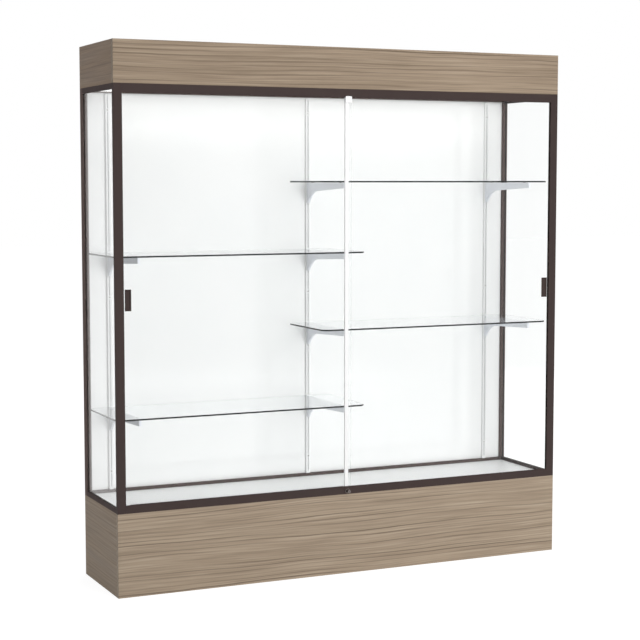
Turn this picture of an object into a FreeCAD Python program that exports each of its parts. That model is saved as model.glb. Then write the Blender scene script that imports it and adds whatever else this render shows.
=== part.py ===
import FreeCAD, Part
import math
import os

# A free-standing lighted display case: a boarded base, a glazed case with two sliding glass doors and
# staggered glass shelves, and a boarded header that holds the light. Millimetres, +X to the right,
# +Y to the back, +Z up, with the origin on the floor under the middle of the case.

# Overall size
case_width = 1828.8
case_depth = 406.4
base_height = 304.8
glazed_height = 1524.0
header_height = 152.4

# Boards of the base and the header
board = 18.0
corner_block_size = 60.0
corner_block_height = 45.0
floor_thickness = 6.2
floor_gap = 0.5

# Levelling feet
foot_disc_radius = 19.0
foot_disc_height = 8.0
foot_disc_bevel = 2.0
foot_stem_radius = 5.0
foot_stem_spare = 6.0
foot_block_gap = 1.0
running_clearance = 0.05

# Metal frame
frame_face = 31.75
bottom_rail_face = 30.0
flange = 3.0
post_box = 16.0
rear_post_width = 23.0
rear_post_depth = 30.0
low_rail_height = 18.0
top_end_rail_height = 20.0
top_rear_rail_height = 15.0
glazing_slot_depth = 8.0
edge_round = 0.8

# End panes and back panel
end_glass = 6.0
gasket_wall = 0.5
gasket_base = 2.0
back_panel_thickness = 6.0
back_panel_setback = 13.2
back_slot_clearance = 0.2
back_panel_edge_gap = 1.0

# Door tracks
track_floor = 3.0
track_wall = 2.5
track_rear_wall_height = 20.0
track_rib_width = 1.6
track_rib_height = 2.0
top_divider_width = 1.2
door_side_gap = 0.5
door_gap = 3.0

# Sliding doors
door_glass = 6.0
door_overlap = 30.0
door_end_gap = 3.4
door_lift = 10.0
door_stop_gap = 20.0
shoe_wall = 1.5
shoe_bottom = 7.0
shoe_web = 2.0
shoe_roller_gap = 1.0
shoe_glass_depth = 8.0
roller_flange_radius = 6.0
roller_groove_radius = 5.0
roller_groove_side_gap = 0.4
roller_side_gap = 0.6
roller_rail_gap = 0.3
roller_axle_radius = 1.5
roller_end_distance = 90.0
pull_width = 23.0
pull_height = 77.0
pull_thickness = 4.0
pull_round = 1.2
pull_cup_margin = 5.0
pull_cup_depth = 1.6
pull_edge_distance = 20.5
strip_wall = 1.0
strip_width = 14.5
guide_width = 26.0
guide_height = 18.0
guide_lip_gap = 0.8
guide_tongue_height = 5.0
guide_tongue = 1.4
guide_tongue_gap = 0.6
guide_round = 4.0

# Lock between the two door shoes
lock_x = -7.5
lock_height = 12.2
plunger_radius = 6.0
plunger_reach = 19.0
plunger_tip_gap = 0.2
lock_side_gap = 1.5
lock_collar_radius = 9.5
lock_collar_length = 3.5
lock_neck_radius = 7.5
key_plug_radius = 3.95
key_plug_length = 10.0
key_plug_end_gap = 0.3
key_slot_width = 1.2
key_slot_height = 5.0
key_slot_depth = 6.0

# Shelf standards
standard_end_distance = 100.4
standard_width = 16.0
standard_depth = 10.0
standard_wall = 1.5
standard_top_gap = 4.0
slot_pitch = 12.7
slot_width = 4.0
slot_height = 8.5
first_slot = 14.2
standard_screw_slots_in = 4

# Shelves and brackets
shelf_glass = 6.0
shelf_door_gap = 9.7
shelf_rear_gap = 2.0
shelf_end_gap = 3.0
shelf_lap = 90.0
shelf_corner_round = 32.0
left_lower_slot = 22
right_lower_slot = 45
left_upper_slot = 68
right_upper_slot = 89
bracket_thickness = 9.0
bracket_rear_height = 80.0
bracket_toe_width = 9.0
bracket_knee_distance = 84.0
bracket_knee_height = 32.0
bracket_front_height = 20.0
bracket_front_gap = 4.0
bracket_curve_sag = 10.0
hook_thickness = 3.0
hook_height = 7.5
hook_reach = 5.0
hook_lip = 3.0
hook_web_gap = 0.3
hook_drop = 14.0
hook_step = 4
hooks_per_bracket = 2
pad_radius = 4.0
pad_thickness = 1.2
pad_inset = 40.0

# Header light
ceiling_drop = 10.0
ceiling_thickness = 4.0
ceiling_ledge = 2.0
ceiling_ledge_width = 8.0
ceiling_end_ledge = 16.0
ceiling_edge_gap = 0.5
light_end_distance = 114.4
light_width = 60.0
light_height = 28.0
light_wall = 1.5
lens_thickness = 3.0
driver_length = 180.0
driver_width = 45.0
driver_height = 30.0
driver_round = 3.0
driver_end_distance = 504.4
driver_rear_distance = 83.2
lead_radius = 3.0
lead_run = 60.0
lead_bend_share = 0.45

# Power inlet with its rocker switch
inlet_end_distance = 314.4
inlet_rebate = 6.0
inlet_plate_width = 60.0
inlet_plate_height = 38.0
inlet_plate = 2.5
inlet_body_width = 50.0
inlet_body_height = 28.0
inlet_body_depth = 28.0
inlet_fit_gap = 0.3
socket_width = 24.0
socket_height = 17.0
socket_depth = 17.0
socket_offset = -11.0
socket_pin_width = 2.0
socket_pin_height = 4.2
socket_pin_length = 14.0
socket_pin_pitch = 7.0
rocker_width = 12.0
rocker_length = 20.0
rocker_crown = 4.5
rocker_valley = 3.0
rocker_back = 5.0
rocker_tilt = 8.0
rocker_side_gap = 0.5
rocker_end_gap = 1.2
rocker_offset = 14.5
rocker_pin_radius = 1.5
rocker_pin_length = 2.5
rocker_pocket_depth = 14.0

# Screws
frame_screw_radius = 1.8
frame_screw_head_radius = 3.4
frame_screw_head = 2.2
frame_screw_end_distance = 194.4
frame_screws_in_row = 4
rear_screw_bite = 8.0
header_screw_bite = 25.0
standard_screw_radius = 1.6
standard_screw_head_radius = 3.0
standard_screw_head = 1.2

# How closely an edge has to lie at a place to count as the edge there
match = 1e-6

# Planes and levels worked out from the sizes above
half_width = case_width / 2
front = -case_depth / 2
rear = case_depth / 2
frame_bottom = base_height
frame_top = base_height + glazed_height
case_top = frame_top + header_height
post_inner = half_width - post_box
opening_half = half_width - frame_face
end_glass_x = half_width - post_box / 2
end_slot_half = end_glass / 2 + gasket_wall
rear_frame_front = rear - rear_post_depth
rear_post_inner = half_width - rear_post_width
back_panel_rear = rear - back_panel_setback
back_panel_front = back_panel_rear - back_panel_thickness
floor_top = frame_bottom + floor_thickness
shoe_width = door_glass + 2 * shoe_wall
front_door_y = front + flange + door_side_gap + shoe_width / 2
rear_door_y = front_door_y + shoe_width + door_gap
divider_y = (front_door_y + rear_door_y) / 2
track_rear = rear_door_y + shoe_width / 2 + door_side_gap + track_wall
rib_top = frame_bottom + track_floor + track_rib_height
roller_z = rib_top + roller_rail_gap + roller_groove_radius
shoe_web_bottom = roller_z + roller_flange_radius + shoe_roller_gap
door_bottom = shoe_web_bottom + shoe_web
shoe_top = door_bottom + shoe_glass_depth
door_top = frame_top - track_floor - door_lift
door_outer = post_inner - door_end_gap
door_inner = -door_overlap / 2
door_travel = door_outer + door_inner - door_stop_gap
top_lip_bottom = frame_top - frame_face
front_shoe_inner = lock_x + plunger_radius + lock_side_gap
rear_shoe_inner = lock_x - plunger_radius - lock_side_gap
lock_z = frame_bottom + lock_height
standard_bottom = frame_bottom + low_rail_height
standard_top = frame_top - top_rear_rail_height - standard_top_gap
standard_front = back_panel_front - standard_depth
slots_bottom = standard_bottom + first_slot
last_slot = int((standard_top - slots_bottom - slot_height) / slot_pitch)
standard_spacing = half_width - standard_end_distance
shelf_rear = standard_front - shelf_rear_gap
shelf_front = track_rear + shelf_door_gap
shelf_outer = end_glass_x - end_glass / 2 - shelf_end_gap
ceiling_bottom = frame_top - ceiling_drop
light_top = case_top - board
header_middle = (frame_top + light_top) / 2
lead_z = light_top - driver_height / 2
light_length = case_width - 2 * light_end_distance
driver_x = half_width - driver_end_distance
driver_y = rear - driver_rear_distance
inlet_x = half_width - inlet_end_distance
frame_screw_spacing = (case_width - 2 * frame_screw_end_distance) / (frame_screws_in_row - 1)


def box(x0, x1, y0, y1, z0, z1):
    return Part.makeBox(x1 - x0, y1 - y0, z1 - z0, FreeCAD.Vector(x0, y0, z0))


def rod(radius, start, direction, length):
    return Part.makeCylinder(radius, length, FreeCAD.Vector(*start), FreeCAD.Vector(*direction))


def mirrored(shape):
    """The same piece on the left-hand end of the case."""
    return shape.mirror(FreeCAD.Vector(0, 0, 0), FreeCAD.Vector(1, 0, 0))


def join(*shapes):
    return shapes[0].multiFuse(list(shapes[1:])).removeSplitter()


def side_profile(points, x0, width):
    """A flat outline of (y, z) points and arc edges, pushed along X into a solid."""
    face = Part.Face(Part.Wire(points))
    solid = face.extrude(FreeCAD.Vector(width, 0, 0))
    solid.translate(FreeCAD.Vector(x0, 0, 0))
    return solid


def line(a, b):
    return Part.LineSegment(FreeCAD.Vector(*a), FreeCAD.Vector(*b)).toShape()


def rounded(shape, radius, wanted):
    """Round the edges that the wanted test picks."""
    return shape.makeFillet(radius, [edge for edge in shape.Edges if wanted(edge)])


def upright_at(x, y):
    """Test for a vertical edge at one place in plan."""
    def wanted(edge):
        bounds = edge.BoundBox
        upright = bounds.XLength < match and bounds.YLength < match
        return upright and abs(bounds.XMin - x) < match and abs(bounds.YMin - y) < match
    return wanted


def along_x_at(y, z):
    """Test for an edge along the case at one height and depth."""
    def wanted(edge):
        bounds = edge.BoundBox
        level = bounds.YLength < match and bounds.ZLength < match
        return level and abs(bounds.YMin - y) < match and abs(bounds.ZMin - z) < match
    return wanted


def save(name, *solids):
    shape = solids[0] if len(solids) == 1 else Part.Compound(list(solids))
    if not shape.isValid() or len(shape.Solids) != len(solids):
        print("look at", name, shape.isValid(), len(shape.Solids))
    shape.exportStep("parts/" + name + ".step")


os.makedirs("parts", exist_ok=True)


# Screws between the base, the frame and the header
def screw_row():
    first = -(frame_screws_in_row - 1) / 2
    return [(first + i) * frame_screw_spacing for i in range(frame_screws_in_row)]


def frame_screw(x, y, seat, length):
    """An upright screw with its head under the seat."""
    shank = rod(frame_screw_radius, (x, y, seat), (0, 0, 1), length)
    head = rod(frame_screw_head_radius, (x, y, seat - frame_screw_head), (0, 0, 1), frame_screw_head)
    return join(head, shank)


def frame_screw_hole(x, y, seat, length):
    radius = frame_screw_radius + running_clearance
    return rod(radius, (x, y, seat), (0, 0, 1), length)


base_screw_seat = frame_bottom - board
front_base_screw_y = (rear_door_y + track_rib_width / 2 + track_rear - track_wall) / 2
front_base_screw_length = board + track_floor
rear_base_screw_y = (rear_frame_front + rear - board) / 2
rear_base_screw_length = board + rear_screw_bite
front_header_screw_y = front + board / 2
front_header_seat = frame_top - track_floor
front_header_screw_length = track_floor + header_screw_bite
rear_header_screw_y = (back_panel_rear + rear) / 2
rear_header_seat = frame_top - top_rear_rail_height
rear_header_screw_length = top_rear_rail_height + header_screw_bite
screw_rows = {
    "front_base": (front_base_screw_y, base_screw_seat, front_base_screw_length),
    "rear_base": (rear_base_screw_y, base_screw_seat, rear_base_screw_length),
    "front_header": (front_header_screw_y, front_header_seat, front_header_screw_length),
    "rear_header": (rear_header_screw_y, rear_header_seat, rear_header_screw_length),
}


def screw_holes(*rows):
    return [frame_screw_hole(x, *screw_rows[row]) for row in rows for x in screw_row()]


save("frame_screws", *[frame_screw(x, *row) for row in screw_rows.values() for x in screw_row()])


# Base: four upright boards round a top board, stiffened in the middle and at the corners
base_front = box(-half_width, half_width, front, front + board, 0, base_height)
base_front = rounded(base_front, edge_round, upright_at(-half_width, front))
base_front = rounded(base_front, edge_round, upright_at(half_width, front))
save("base_front_panel", base_front)

base_end = box(half_width - board, half_width, front + board, rear, 0, base_height)
base_end = rounded(base_end, edge_round, upright_at(half_width, rear))
save("base_end_panels", mirrored(base_end), base_end)

save("base_rear_panel", box(board - half_width, half_width - board, rear - board, rear, 0, base_height))

base_top = box(board - half_width, half_width - board, front + board, rear - board,
               base_height - board, base_height)
save("base_top_panel", base_top.cut(screw_holes("front_base", "rear_base")))

save("base_centre_rib", box(-board / 2, board / 2, front + board, rear - board, 0, base_height - board))

block_bottom = foot_disc_height + foot_block_gap
block_outer_x = half_width - board
foot_x = block_outer_x - corner_block_size / 2
foot_y = rear - board - corner_block_size / 2


def corner_block(side, end):
    x = side * foot_x
    y = end * foot_y
    half = corner_block_size / 2
    block = box(x - half, x + half, y - half, y + half, block_bottom, block_bottom + corner_block_height)
    bore = rod(foot_stem_radius + running_clearance, (x, y, block_bottom), (0, 0, 1), corner_block_height)
    return block.cut(bore)


def levelling_foot(side, end):
    x = side * foot_x
    y = end * foot_y
    disc = rod(foot_disc_radius, (x, y, 0), (0, 0, 1), foot_disc_height)
    disc = disc.makeChamfer(foot_disc_bevel, [disc.Edges[0]])
    stem_length = foot_block_gap + corner_block_height + foot_stem_spare
    stem = rod(foot_stem_radius, (x, y, foot_disc_height), (0, 0, 1), stem_length)
    return join(disc, stem)


corners = {"front_left": (-1, -1), "front_right": (1, -1), "rear_left": (-1, 1), "rear_right": (1, 1)}
save("base_corner_blocks", *[corner_block(*place) for place in corners.values()])
for corner, place in corners.items():
    save("foot_" + corner, levelling_foot(*place))

floor_half = post_inner - floor_gap
floor_board = box(-floor_half, floor_half, track_rear + floor_gap, rear_frame_front - floor_gap,
                  frame_bottom, floor_top)
save("display_floor", floor_board)


# Metal frame: front posts with a flange that covers the door edges and a fin between the two doors,
# and square rear posts
def front_post():
    tube = box(post_inner, half_width, front, front + post_box, frame_bottom, frame_top)
    cover = box(opening_half, post_inner, front, front + flange, frame_bottom, frame_top)
    slot_front = front + post_box - glazing_slot_depth
    slot = box(end_glass_x - end_slot_half, end_glass_x + end_slot_half, slot_front, front + post_box,
               frame_bottom + low_rail_height - glazing_slot_depth,
               frame_top - top_end_rail_height + glazing_slot_depth)
    fin = box(opening_half, post_inner, divider_y - flange / 2, divider_y + flange / 2,
              frame_bottom + track_floor, top_lip_bottom)
    post = join(tube, cover, fin).cut(slot)
    post = rounded(post, edge_round, upright_at(half_width, front))
    return rounded(post, edge_round, upright_at(opening_half, front))


def rear_post():
    post = box(rear_post_inner, half_width, rear_frame_front, rear, frame_bottom, frame_top)
    pane_slot = box(end_glass_x - end_slot_half, end_glass_x + end_slot_half,
                    rear_frame_front, rear_frame_front + glazing_slot_depth,
                    frame_bottom + low_rail_height - glazing_slot_depth,
                    frame_top - top_end_rail_height + glazing_slot_depth)
    panel_slot = box(rear_post_inner, rear_post_inner + glazing_slot_depth,
                     back_panel_front - back_slot_clearance, back_panel_rear + back_slot_clearance,
                     frame_bottom + low_rail_height - glazing_slot_depth,
                     frame_top - top_rear_rail_height + glazing_slot_depth)
    post = post.cut([pane_slot, panel_slot])
    return rounded(post, edge_round, upright_at(half_width, rear))


save("front_posts", mirrored(front_post()), front_post())
save("rear_posts", mirrored(rear_post()), rear_post())


def end_rail(bottom, top, slot_bottom, slot_top):
    rail = box(post_inner, half_width, front + post_box, rear_frame_front, bottom, top)
    slot = box(end_glass_x - end_slot_half, end_glass_x + end_slot_half,
               front + post_box, rear_frame_front, slot_bottom, slot_top)
    return rail.cut(slot)


low_rail_top = frame_bottom + low_rail_height
low_end_rail = end_rail(frame_bottom, low_rail_top, low_rail_top - glazing_slot_depth, low_rail_top)
save("bottom_end_rails", mirrored(low_end_rail), low_end_rail)

top_end_bottom = frame_top - top_end_rail_height
top_end_rail = end_rail(top_end_bottom, frame_top, top_end_bottom, top_end_bottom + glazing_slot_depth)
end_ledge = box(post_inner - ceiling_end_ledge, post_inner,
                track_rear + ceiling_ledge_width, rear_frame_front,
                ceiling_bottom - ceiling_ledge, ceiling_bottom)
top_end_rail = join(top_end_rail, end_ledge)
save("top_end_rails", mirrored(top_end_rail), top_end_rail)

# Front rails: one extrusion each, with a lip in front and the two door tracks behind it
bottom_lip = box(-opening_half, opening_half, front, front + flange,
                 frame_bottom, frame_bottom + bottom_rail_face)
bottom_web = box(-post_inner, post_inner, front + flange, track_rear,
                 frame_bottom, frame_bottom + track_floor)
bottom_wall = box(-post_inner, post_inner, track_rear - track_wall, track_rear,
                  frame_bottom, frame_bottom + track_rear_wall_height)
track_ribs = [box(-post_inner, post_inner, y - track_rib_width / 2, y + track_rib_width / 2,
                  frame_bottom, rib_top) for y in (front_door_y, rear_door_y)]
bottom_front_rail = join(bottom_lip, bottom_web, bottom_wall, *track_ribs)
lock_hole = rod(lock_neck_radius, (lock_x, front, lock_z), (0, 1, 0), flange)
bottom_front_rail = bottom_front_rail.cut([lock_hole] + screw_holes("front_base"))
bottom_front_rail = rounded(bottom_front_rail, edge_round, along_x_at(front, frame_bottom + bottom_rail_face))
save("bottom_front_rail", bottom_front_rail)

top_lip = box(-opening_half, opening_half, front, front + flange, top_lip_bottom, frame_top)
top_web = box(-post_inner, post_inner, front + flange, track_rear, frame_top - track_floor, frame_top)
top_divider = box(-post_inner, post_inner,
                  divider_y - top_divider_width / 2, divider_y + top_divider_width / 2,
                  top_lip_bottom, frame_top)
top_wall = box(-post_inner, post_inner, track_rear - track_wall, track_rear, top_lip_bottom, frame_top)
front_ledge = box(-post_inner, post_inner, track_rear, track_rear + ceiling_ledge_width,
                  ceiling_bottom - ceiling_ledge, ceiling_bottom)
top_front_rail = join(top_lip, top_web, top_divider, top_wall, front_ledge).cut(screw_holes("front_header"))
top_front_rail = rounded(top_front_rail, edge_round, along_x_at(front, top_lip_bottom))
save("top_front_rail", top_front_rail)

back_slot_front = back_panel_front - back_slot_clearance
back_slot_rear = back_panel_rear + back_slot_clearance
low_rear = box(-rear_post_inner, rear_post_inner, rear_frame_front, rear, frame_bottom, low_rail_top)
low_rear_slot = box(-rear_post_inner, rear_post_inner, back_slot_front, back_slot_rear,
                    low_rail_top - glazing_slot_depth, low_rail_top)
save("bottom_rear_rail", low_rear.cut([low_rear_slot] + screw_holes("rear_base")))

top_rear_bottom = frame_top - top_rear_rail_height
top_rear = box(-rear_post_inner, rear_post_inner, rear_frame_front, rear, top_rear_bottom, frame_top)
top_rear_slot = box(-rear_post_inner, rear_post_inner, back_slot_front, back_slot_rear,
                    top_rear_bottom, top_rear_bottom + glazing_slot_depth)
ceiling_groove = box(-rear_post_inner, rear_post_inner,
                     rear_frame_front, rear_frame_front + ceiling_ledge_width,
                     ceiling_bottom, ceiling_bottom + ceiling_thickness)
save("top_rear_rail", top_rear.cut([top_rear_slot, ceiling_groove] + screw_holes("rear_header")))


# End panes in their rubber channels, and the white back panel
channel_front = front + post_box - glazing_slot_depth
channel_rear = rear_frame_front + glazing_slot_depth
channel_bottom = low_rail_top - glazing_slot_depth
channel_top = top_end_bottom + glazing_slot_depth
end_pane = box(end_glass_x - end_glass / 2, end_glass_x + end_glass / 2,
               channel_front + gasket_base, channel_rear - gasket_base,
               channel_bottom + gasket_base, channel_top - gasket_base)
save("end_glass_panes", mirrored(end_pane), end_pane)

gasket = box(end_glass_x - end_slot_half, end_glass_x + end_slot_half,
             channel_front, channel_rear, channel_bottom, channel_top)
gasket_window = box(end_glass_x - end_slot_half, end_glass_x + end_slot_half,
                    front + post_box, rear_frame_front, low_rail_top, top_end_bottom)
gasket = gasket.cut([gasket_window, end_pane])
save("end_glass_gaskets", mirrored(gasket), gasket)

panel_half = rear_post_inner + glazing_slot_depth - back_panel_edge_gap
panel_bottom = low_rail_top - glazing_slot_depth
panel_top = top_rear_bottom + glazing_slot_depth - back_panel_edge_gap
back_panel = box(-panel_half, panel_half, back_panel_front, back_panel_rear, panel_bottom, panel_top)


# Slotted shelf standards, held to the back panel by flush screws that each take the place of a slot
def slot_bottom(number):
    return slots_bottom + number * slot_pitch


middle_screw_slot = (right_lower_slot + left_upper_slot) // 2
screw_slots = (standard_screw_slots_in, middle_screw_slot, last_slot - standard_screw_slots_in)


def screw_height(number):
    return slot_bottom(number) + slot_height / 2


def flush_screw(x, z, clearance):
    """A screw along Y with a cone for a head, or with a clearance the hole for it."""
    shank_radius = standard_screw_radius + clearance
    shank = rod(shank_radius, (x, standard_front, z), (0, 1, 0), back_panel_rear - standard_front)
    head = Part.makeCone(standard_screw_head_radius + clearance, shank_radius, standard_screw_head,
                         FreeCAD.Vector(x, standard_front, z), FreeCAD.Vector(0, 1, 0))
    return join(head, shank)


def shelf_standard(x):
    half = standard_width / 2
    outer = box(x - half, x + half, standard_front, back_panel_front, standard_bottom, standard_top)
    inner = box(x - half + standard_wall, x + half - standard_wall,
                standard_front + standard_wall, back_panel_front, standard_bottom, standard_top)
    slots = [box(x - slot_width / 2, x + slot_width / 2, standard_front, standard_front + standard_wall,
                 slot_bottom(i), slot_bottom(i) + slot_height)
             for i in range(last_slot + 1) if i not in screw_slots]
    holes = [flush_screw(x, screw_height(i), running_clearance) for i in screw_slots]
    return outer.cut([inner] + slots + holes)


standard_places = (-standard_spacing, 0, standard_spacing)
save("shelf_standards", *[shelf_standard(x) for x in standard_places])
screw_places = [(x, screw_height(i)) for x in standard_places for i in screw_slots]
save("standard_screws", *[flush_screw(x, z, 0) for x, z in screw_places])
save("back_panel", back_panel.cut([flush_screw(x, z, running_clearance) for x, z in screw_places]))


# Glass shelves on pairs of hooked brackets
def shelf_bracket(x, top):
    """A tapering arm whose underside sweeps down to a deep heel, with two hooks behind it."""
    heel = standard_front
    tip = shelf_front + bracket_front_gap
    toe = heel - bracket_toe_width
    knee = heel - bracket_knee_distance
    low = top - bracket_rear_height
    knee_z = top - bracket_knee_height
    chord = FreeCAD.Vector(0, toe - knee, low - knee_z)
    middle = FreeCAD.Vector(0, (toe + knee) / 2, (low + knee_z) / 2)
    inward = FreeCAD.Vector(0, -chord.z, chord.y).normalize()
    bend = Part.Arc(FreeCAD.Vector(0, knee, knee_z), middle + inward * bracket_curve_sag,
                    FreeCAD.Vector(0, toe, low)).toShape()
    outline = [
        line((0, heel, top), (0, tip, top)),
        line((0, tip, top), (0, tip, top - bracket_front_height)),
        line((0, tip, top - bracket_front_height), (0, knee, knee_z)),
        bend,
        line((0, toe, low), (0, heel, low)),
        line((0, heel, low), (0, heel, top)),
    ]
    arm = side_profile(outline, x - bracket_thickness / 2, bracket_thickness)
    hooks = [shelf_hook(x, top - hook_drop - i * hook_step * slot_pitch) for i in range(hooks_per_bracket)]
    return join(arm, *hooks)


def shelf_hook(x, z):
    """A tab through a slot of the standard, with a lip that drops behind the slotted face."""
    half = hook_thickness / 2
    tab = box(x - half, x + half, standard_front, standard_front + hook_reach, z, z + hook_height)
    lip = box(x - half, x + half, standard_front + standard_wall + hook_web_gap, standard_front + hook_reach,
              z - hook_lip, z)
    return join(tab, lip)


def bracket_top(slot):
    return slot_bottom(slot) + hook_drop


def shelf_pads(x, top):
    places = (shelf_rear - pad_inset, shelf_front + bracket_front_gap + pad_inset)
    return [rod(pad_radius, (x, y, top), (0, 0, 1), pad_thickness) for y in places]


shelves = {
    "left_lower": (left_lower_slot, -1),
    "left_upper": (left_upper_slot, -1),
    "right_lower": (right_lower_slot, 1),
    "right_upper": (right_upper_slot, 1),
}
all_pads = []
for shelf, (slot, side) in shelves.items():
    top = bracket_top(slot)
    shelf_bottom = top + pad_thickness
    x_ends = sorted((side * shelf_outer, -side * shelf_lap))
    pane = box(*x_ends, shelf_front, shelf_rear, shelf_bottom, shelf_bottom + shelf_glass)
    for x in x_ends:
        pane = rounded(pane, shelf_corner_round, upright_at(x, shelf_front))
        pane = rounded(pane, shelf_corner_round, upright_at(x, shelf_rear))
    save(shelf + "_shelf", pane)
    bracket_places = sorted((0, side * standard_spacing))
    save(shelf + "_brackets", *[shelf_bracket(x, top) for x in bracket_places])
    for x in bracket_places:
        all_pads += shelf_pads(x, top)
save("shelf_pads", *all_pads)


# Sliding doors: a pane in a metal shoe that runs on two grooved rollers
def door_roller(x, y):
    half = shoe_width / 2 - shoe_wall - roller_side_gap
    groove = track_rib_width / 2 + roller_groove_side_gap
    pieces = [rod(roller_groove_radius, (x, y - half, roller_z), (0, 1, 0), 2 * half)]
    for start in (y - half, y + groove):
        pieces.append(rod(roller_flange_radius, (x, start, roller_z), (0, 1, 0), half - groove))
    pieces.append(rod(roller_axle_radius, (x, y - shoe_width / 2, roller_z), (0, 1, 0), shoe_width))
    return join(*pieces)


def door_shoe(x0, x1, y, roller_places):
    half = shoe_width / 2
    shoe = box(x0, x1, y - half, y + half, frame_bottom + shoe_bottom, shoe_top)
    roller_room = box(x0, x1, y - half + shoe_wall, y + half - shoe_wall,
                      frame_bottom + shoe_bottom, shoe_web_bottom)
    glass_room = box(x0, x1, y - door_glass / 2, y + door_glass / 2, door_bottom, shoe_top)
    radius = roller_axle_radius + running_clearance
    axles = [rod(radius, (x, y - half, roller_z), (0, 1, 0), shoe_width) for x in roller_places]
    return shoe.cut([roller_room, glass_room] + axles)


def door_pull(x, glass_front):
    """A flat finger pull with a shallow cup in its face."""
    z = (frame_bottom + frame_top) / 2
    half = pull_width / 2
    tall = pull_height / 2
    face = glass_front - pull_thickness
    plate = box(x - half, x + half, face, glass_front, z - tall, z + tall)
    plate = rounded(plate, pull_round, lambda edge: edge.BoundBox.YMax < face + match)
    cup_half = half - pull_cup_margin
    cup_tall = tall - pull_cup_margin
    cup = box(x - cup_half, x + cup_half, face, face + pull_cup_depth, z - cup_tall, z + cup_tall)
    return plate.cut(cup)


def door_pane(x0, x1, y):
    return box(x0, x1, y - door_glass / 2, y + door_glass / 2, door_bottom, door_top)


pull_x = door_outer - pull_edge_distance - pull_width / 2
right_shoe_outer = rear_shoe_inner + door_travel
left_shoe_outer = front_shoe_inner - door_travel
right_rollers = (front_shoe_inner + roller_end_distance, right_shoe_outer - roller_end_distance)
left_rollers = (rear_shoe_inner - roller_end_distance, left_shoe_outer + roller_end_distance)
right_pane = door_pane(door_inner, door_outer, front_door_y)

save("left_door_glass", door_pane(-door_outer, -door_inner, rear_door_y))
save("left_door_shoe", door_shoe(left_shoe_outer, rear_shoe_inner, rear_door_y, left_rollers))
save("left_door_pull", door_pull(-pull_x, rear_door_y - door_glass / 2))
save("right_door_glass", right_pane)
save("right_door_shoe", door_shoe(front_shoe_inner, right_shoe_outer, front_door_y, right_rollers))
save("right_door_pull", door_pull(pull_x, front_door_y - door_glass / 2))
for name, x in zip(("inner", "outer"), left_rollers):
    save("left_" + name + "_roller", door_roller(x, rear_door_y))
for name, x in zip(("inner", "outer"), right_rollers):
    save("right_" + name + "_roller", door_roller(x, front_door_y))

# White edge strip and top guide on the meeting edge of the right-hand door
guide_top = top_lip_bottom - guide_lip_gap
guide_bottom = guide_top - guide_height
strip_left = door_inner - strip_wall
strip_front = front_door_y - door_glass / 2 - strip_wall
strip_rear = front_door_y + door_glass / 2 + strip_wall
edge_strip = box(strip_left, strip_left + strip_width, strip_front, strip_rear, shoe_top, guide_bottom)
save("right_door_edge_strip", edge_strip.cut(right_pane))

guide_left = strip_left - strip_wall
guide_right = guide_left + guide_width
tongue_front = front - guide_tongue_gap - guide_tongue
tongue_top = top_lip_bottom + guide_tongue_height
guide_block = box(guide_left, guide_right, tongue_front, strip_rear, guide_bottom, guide_top)
tongue = box(guide_left, guide_right, tongue_front, front - guide_tongue_gap, guide_bottom, tongue_top)
tongue = rounded(tongue, guide_round, lambda edge: edge.BoundBox.ZMin > tongue_top - match
                 and edge.BoundBox.XLength < match)
save("right_door_top_guide", join(guide_block, tongue).cut(right_pane))

# Plunger lock: pushed in, the plunger stands between the two shoes and holds both doors
plunger_front = front - plunger_reach
plunger_tip = front + flange - plunger_tip_gap
bore_radius = plunger_radius + running_clearance
collar = rod(lock_collar_radius, (lock_x, front - lock_collar_length, lock_z), (0, 1, 0), lock_collar_length)
collar = rounded(collar, edge_round, lambda edge: edge.BoundBox.YMax < front - lock_collar_length + match)
neck = rod(lock_neck_radius, (lock_x, front, lock_z), (0, 1, 0), flange)
lock_bore = rod(bore_radius, (lock_x, front - lock_collar_length, lock_z), (0, 1, 0),
                lock_collar_length + flange)
save("lock_housing", join(collar, neck).cut(lock_bore))

plunger = rod(plunger_radius, (lock_x, plunger_front, lock_z), (0, 1, 0), plunger_tip - plunger_front)
plunger = rounded(plunger, edge_round, lambda edge: edge.BoundBox.YMax < plunger_front + match)
plug_bore = rod(key_plug_radius + running_clearance, (lock_x, plunger_front, lock_z), (0, 1, 0),
                key_plug_length + key_plug_end_gap)
save("lock_plunger", plunger.cut(plug_bore))

key_plug = rod(key_plug_radius, (lock_x, plunger_front, lock_z), (0, 1, 0), key_plug_length)
key_slot = box(lock_x - key_slot_width / 2, lock_x + key_slot_width / 2,
               plunger_front, plunger_front + key_slot_depth,
               lock_z - key_slot_height / 2, lock_z + key_slot_height / 2)
save("lock_key_plug", key_plug.cut(key_slot))


# Header: a boarded box over the frame, open below to the frosted ceiling
header_front = box(-half_width, half_width, front, front + board, frame_top, case_top)
header_front = rounded(header_front, edge_round, upright_at(-half_width, front))
header_front = rounded(header_front, edge_round, upright_at(half_width, front))
save("header_front_panel", header_front.cut(screw_holes("front_header")))

header_end = box(half_width - board, half_width, front + board, rear, frame_top, case_top)
header_end = rounded(header_end, edge_round, upright_at(half_width, rear))
save("header_end_panels", mirrored(header_end), header_end)

rebate_half = inlet_plate_width / 2 + inlet_fit_gap
rebate_tall = inlet_plate_height / 2 + inlet_fit_gap
body_half = inlet_body_width / 2
body_tall = inlet_body_height / 2
rebate_floor = rear - inlet_rebate
rebate = box(inlet_x - rebate_half, inlet_x + rebate_half, rebate_floor, rear,
             header_middle - rebate_tall, header_middle + rebate_tall)
body_hole = box(inlet_x - body_half - inlet_fit_gap, inlet_x + body_half + inlet_fit_gap, rear - board, rear,
                header_middle - body_tall - inlet_fit_gap, header_middle + body_tall + inlet_fit_gap)
header_rear = box(board - half_width, half_width - board, rear - board, rear, frame_top, case_top)
save("header_rear_panel", header_rear.cut([rebate, body_hole] + screw_holes("rear_header")))
save("header_top_panel", box(board - half_width, half_width - board, front + board, rear - board,
                             light_top, case_top))

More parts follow.
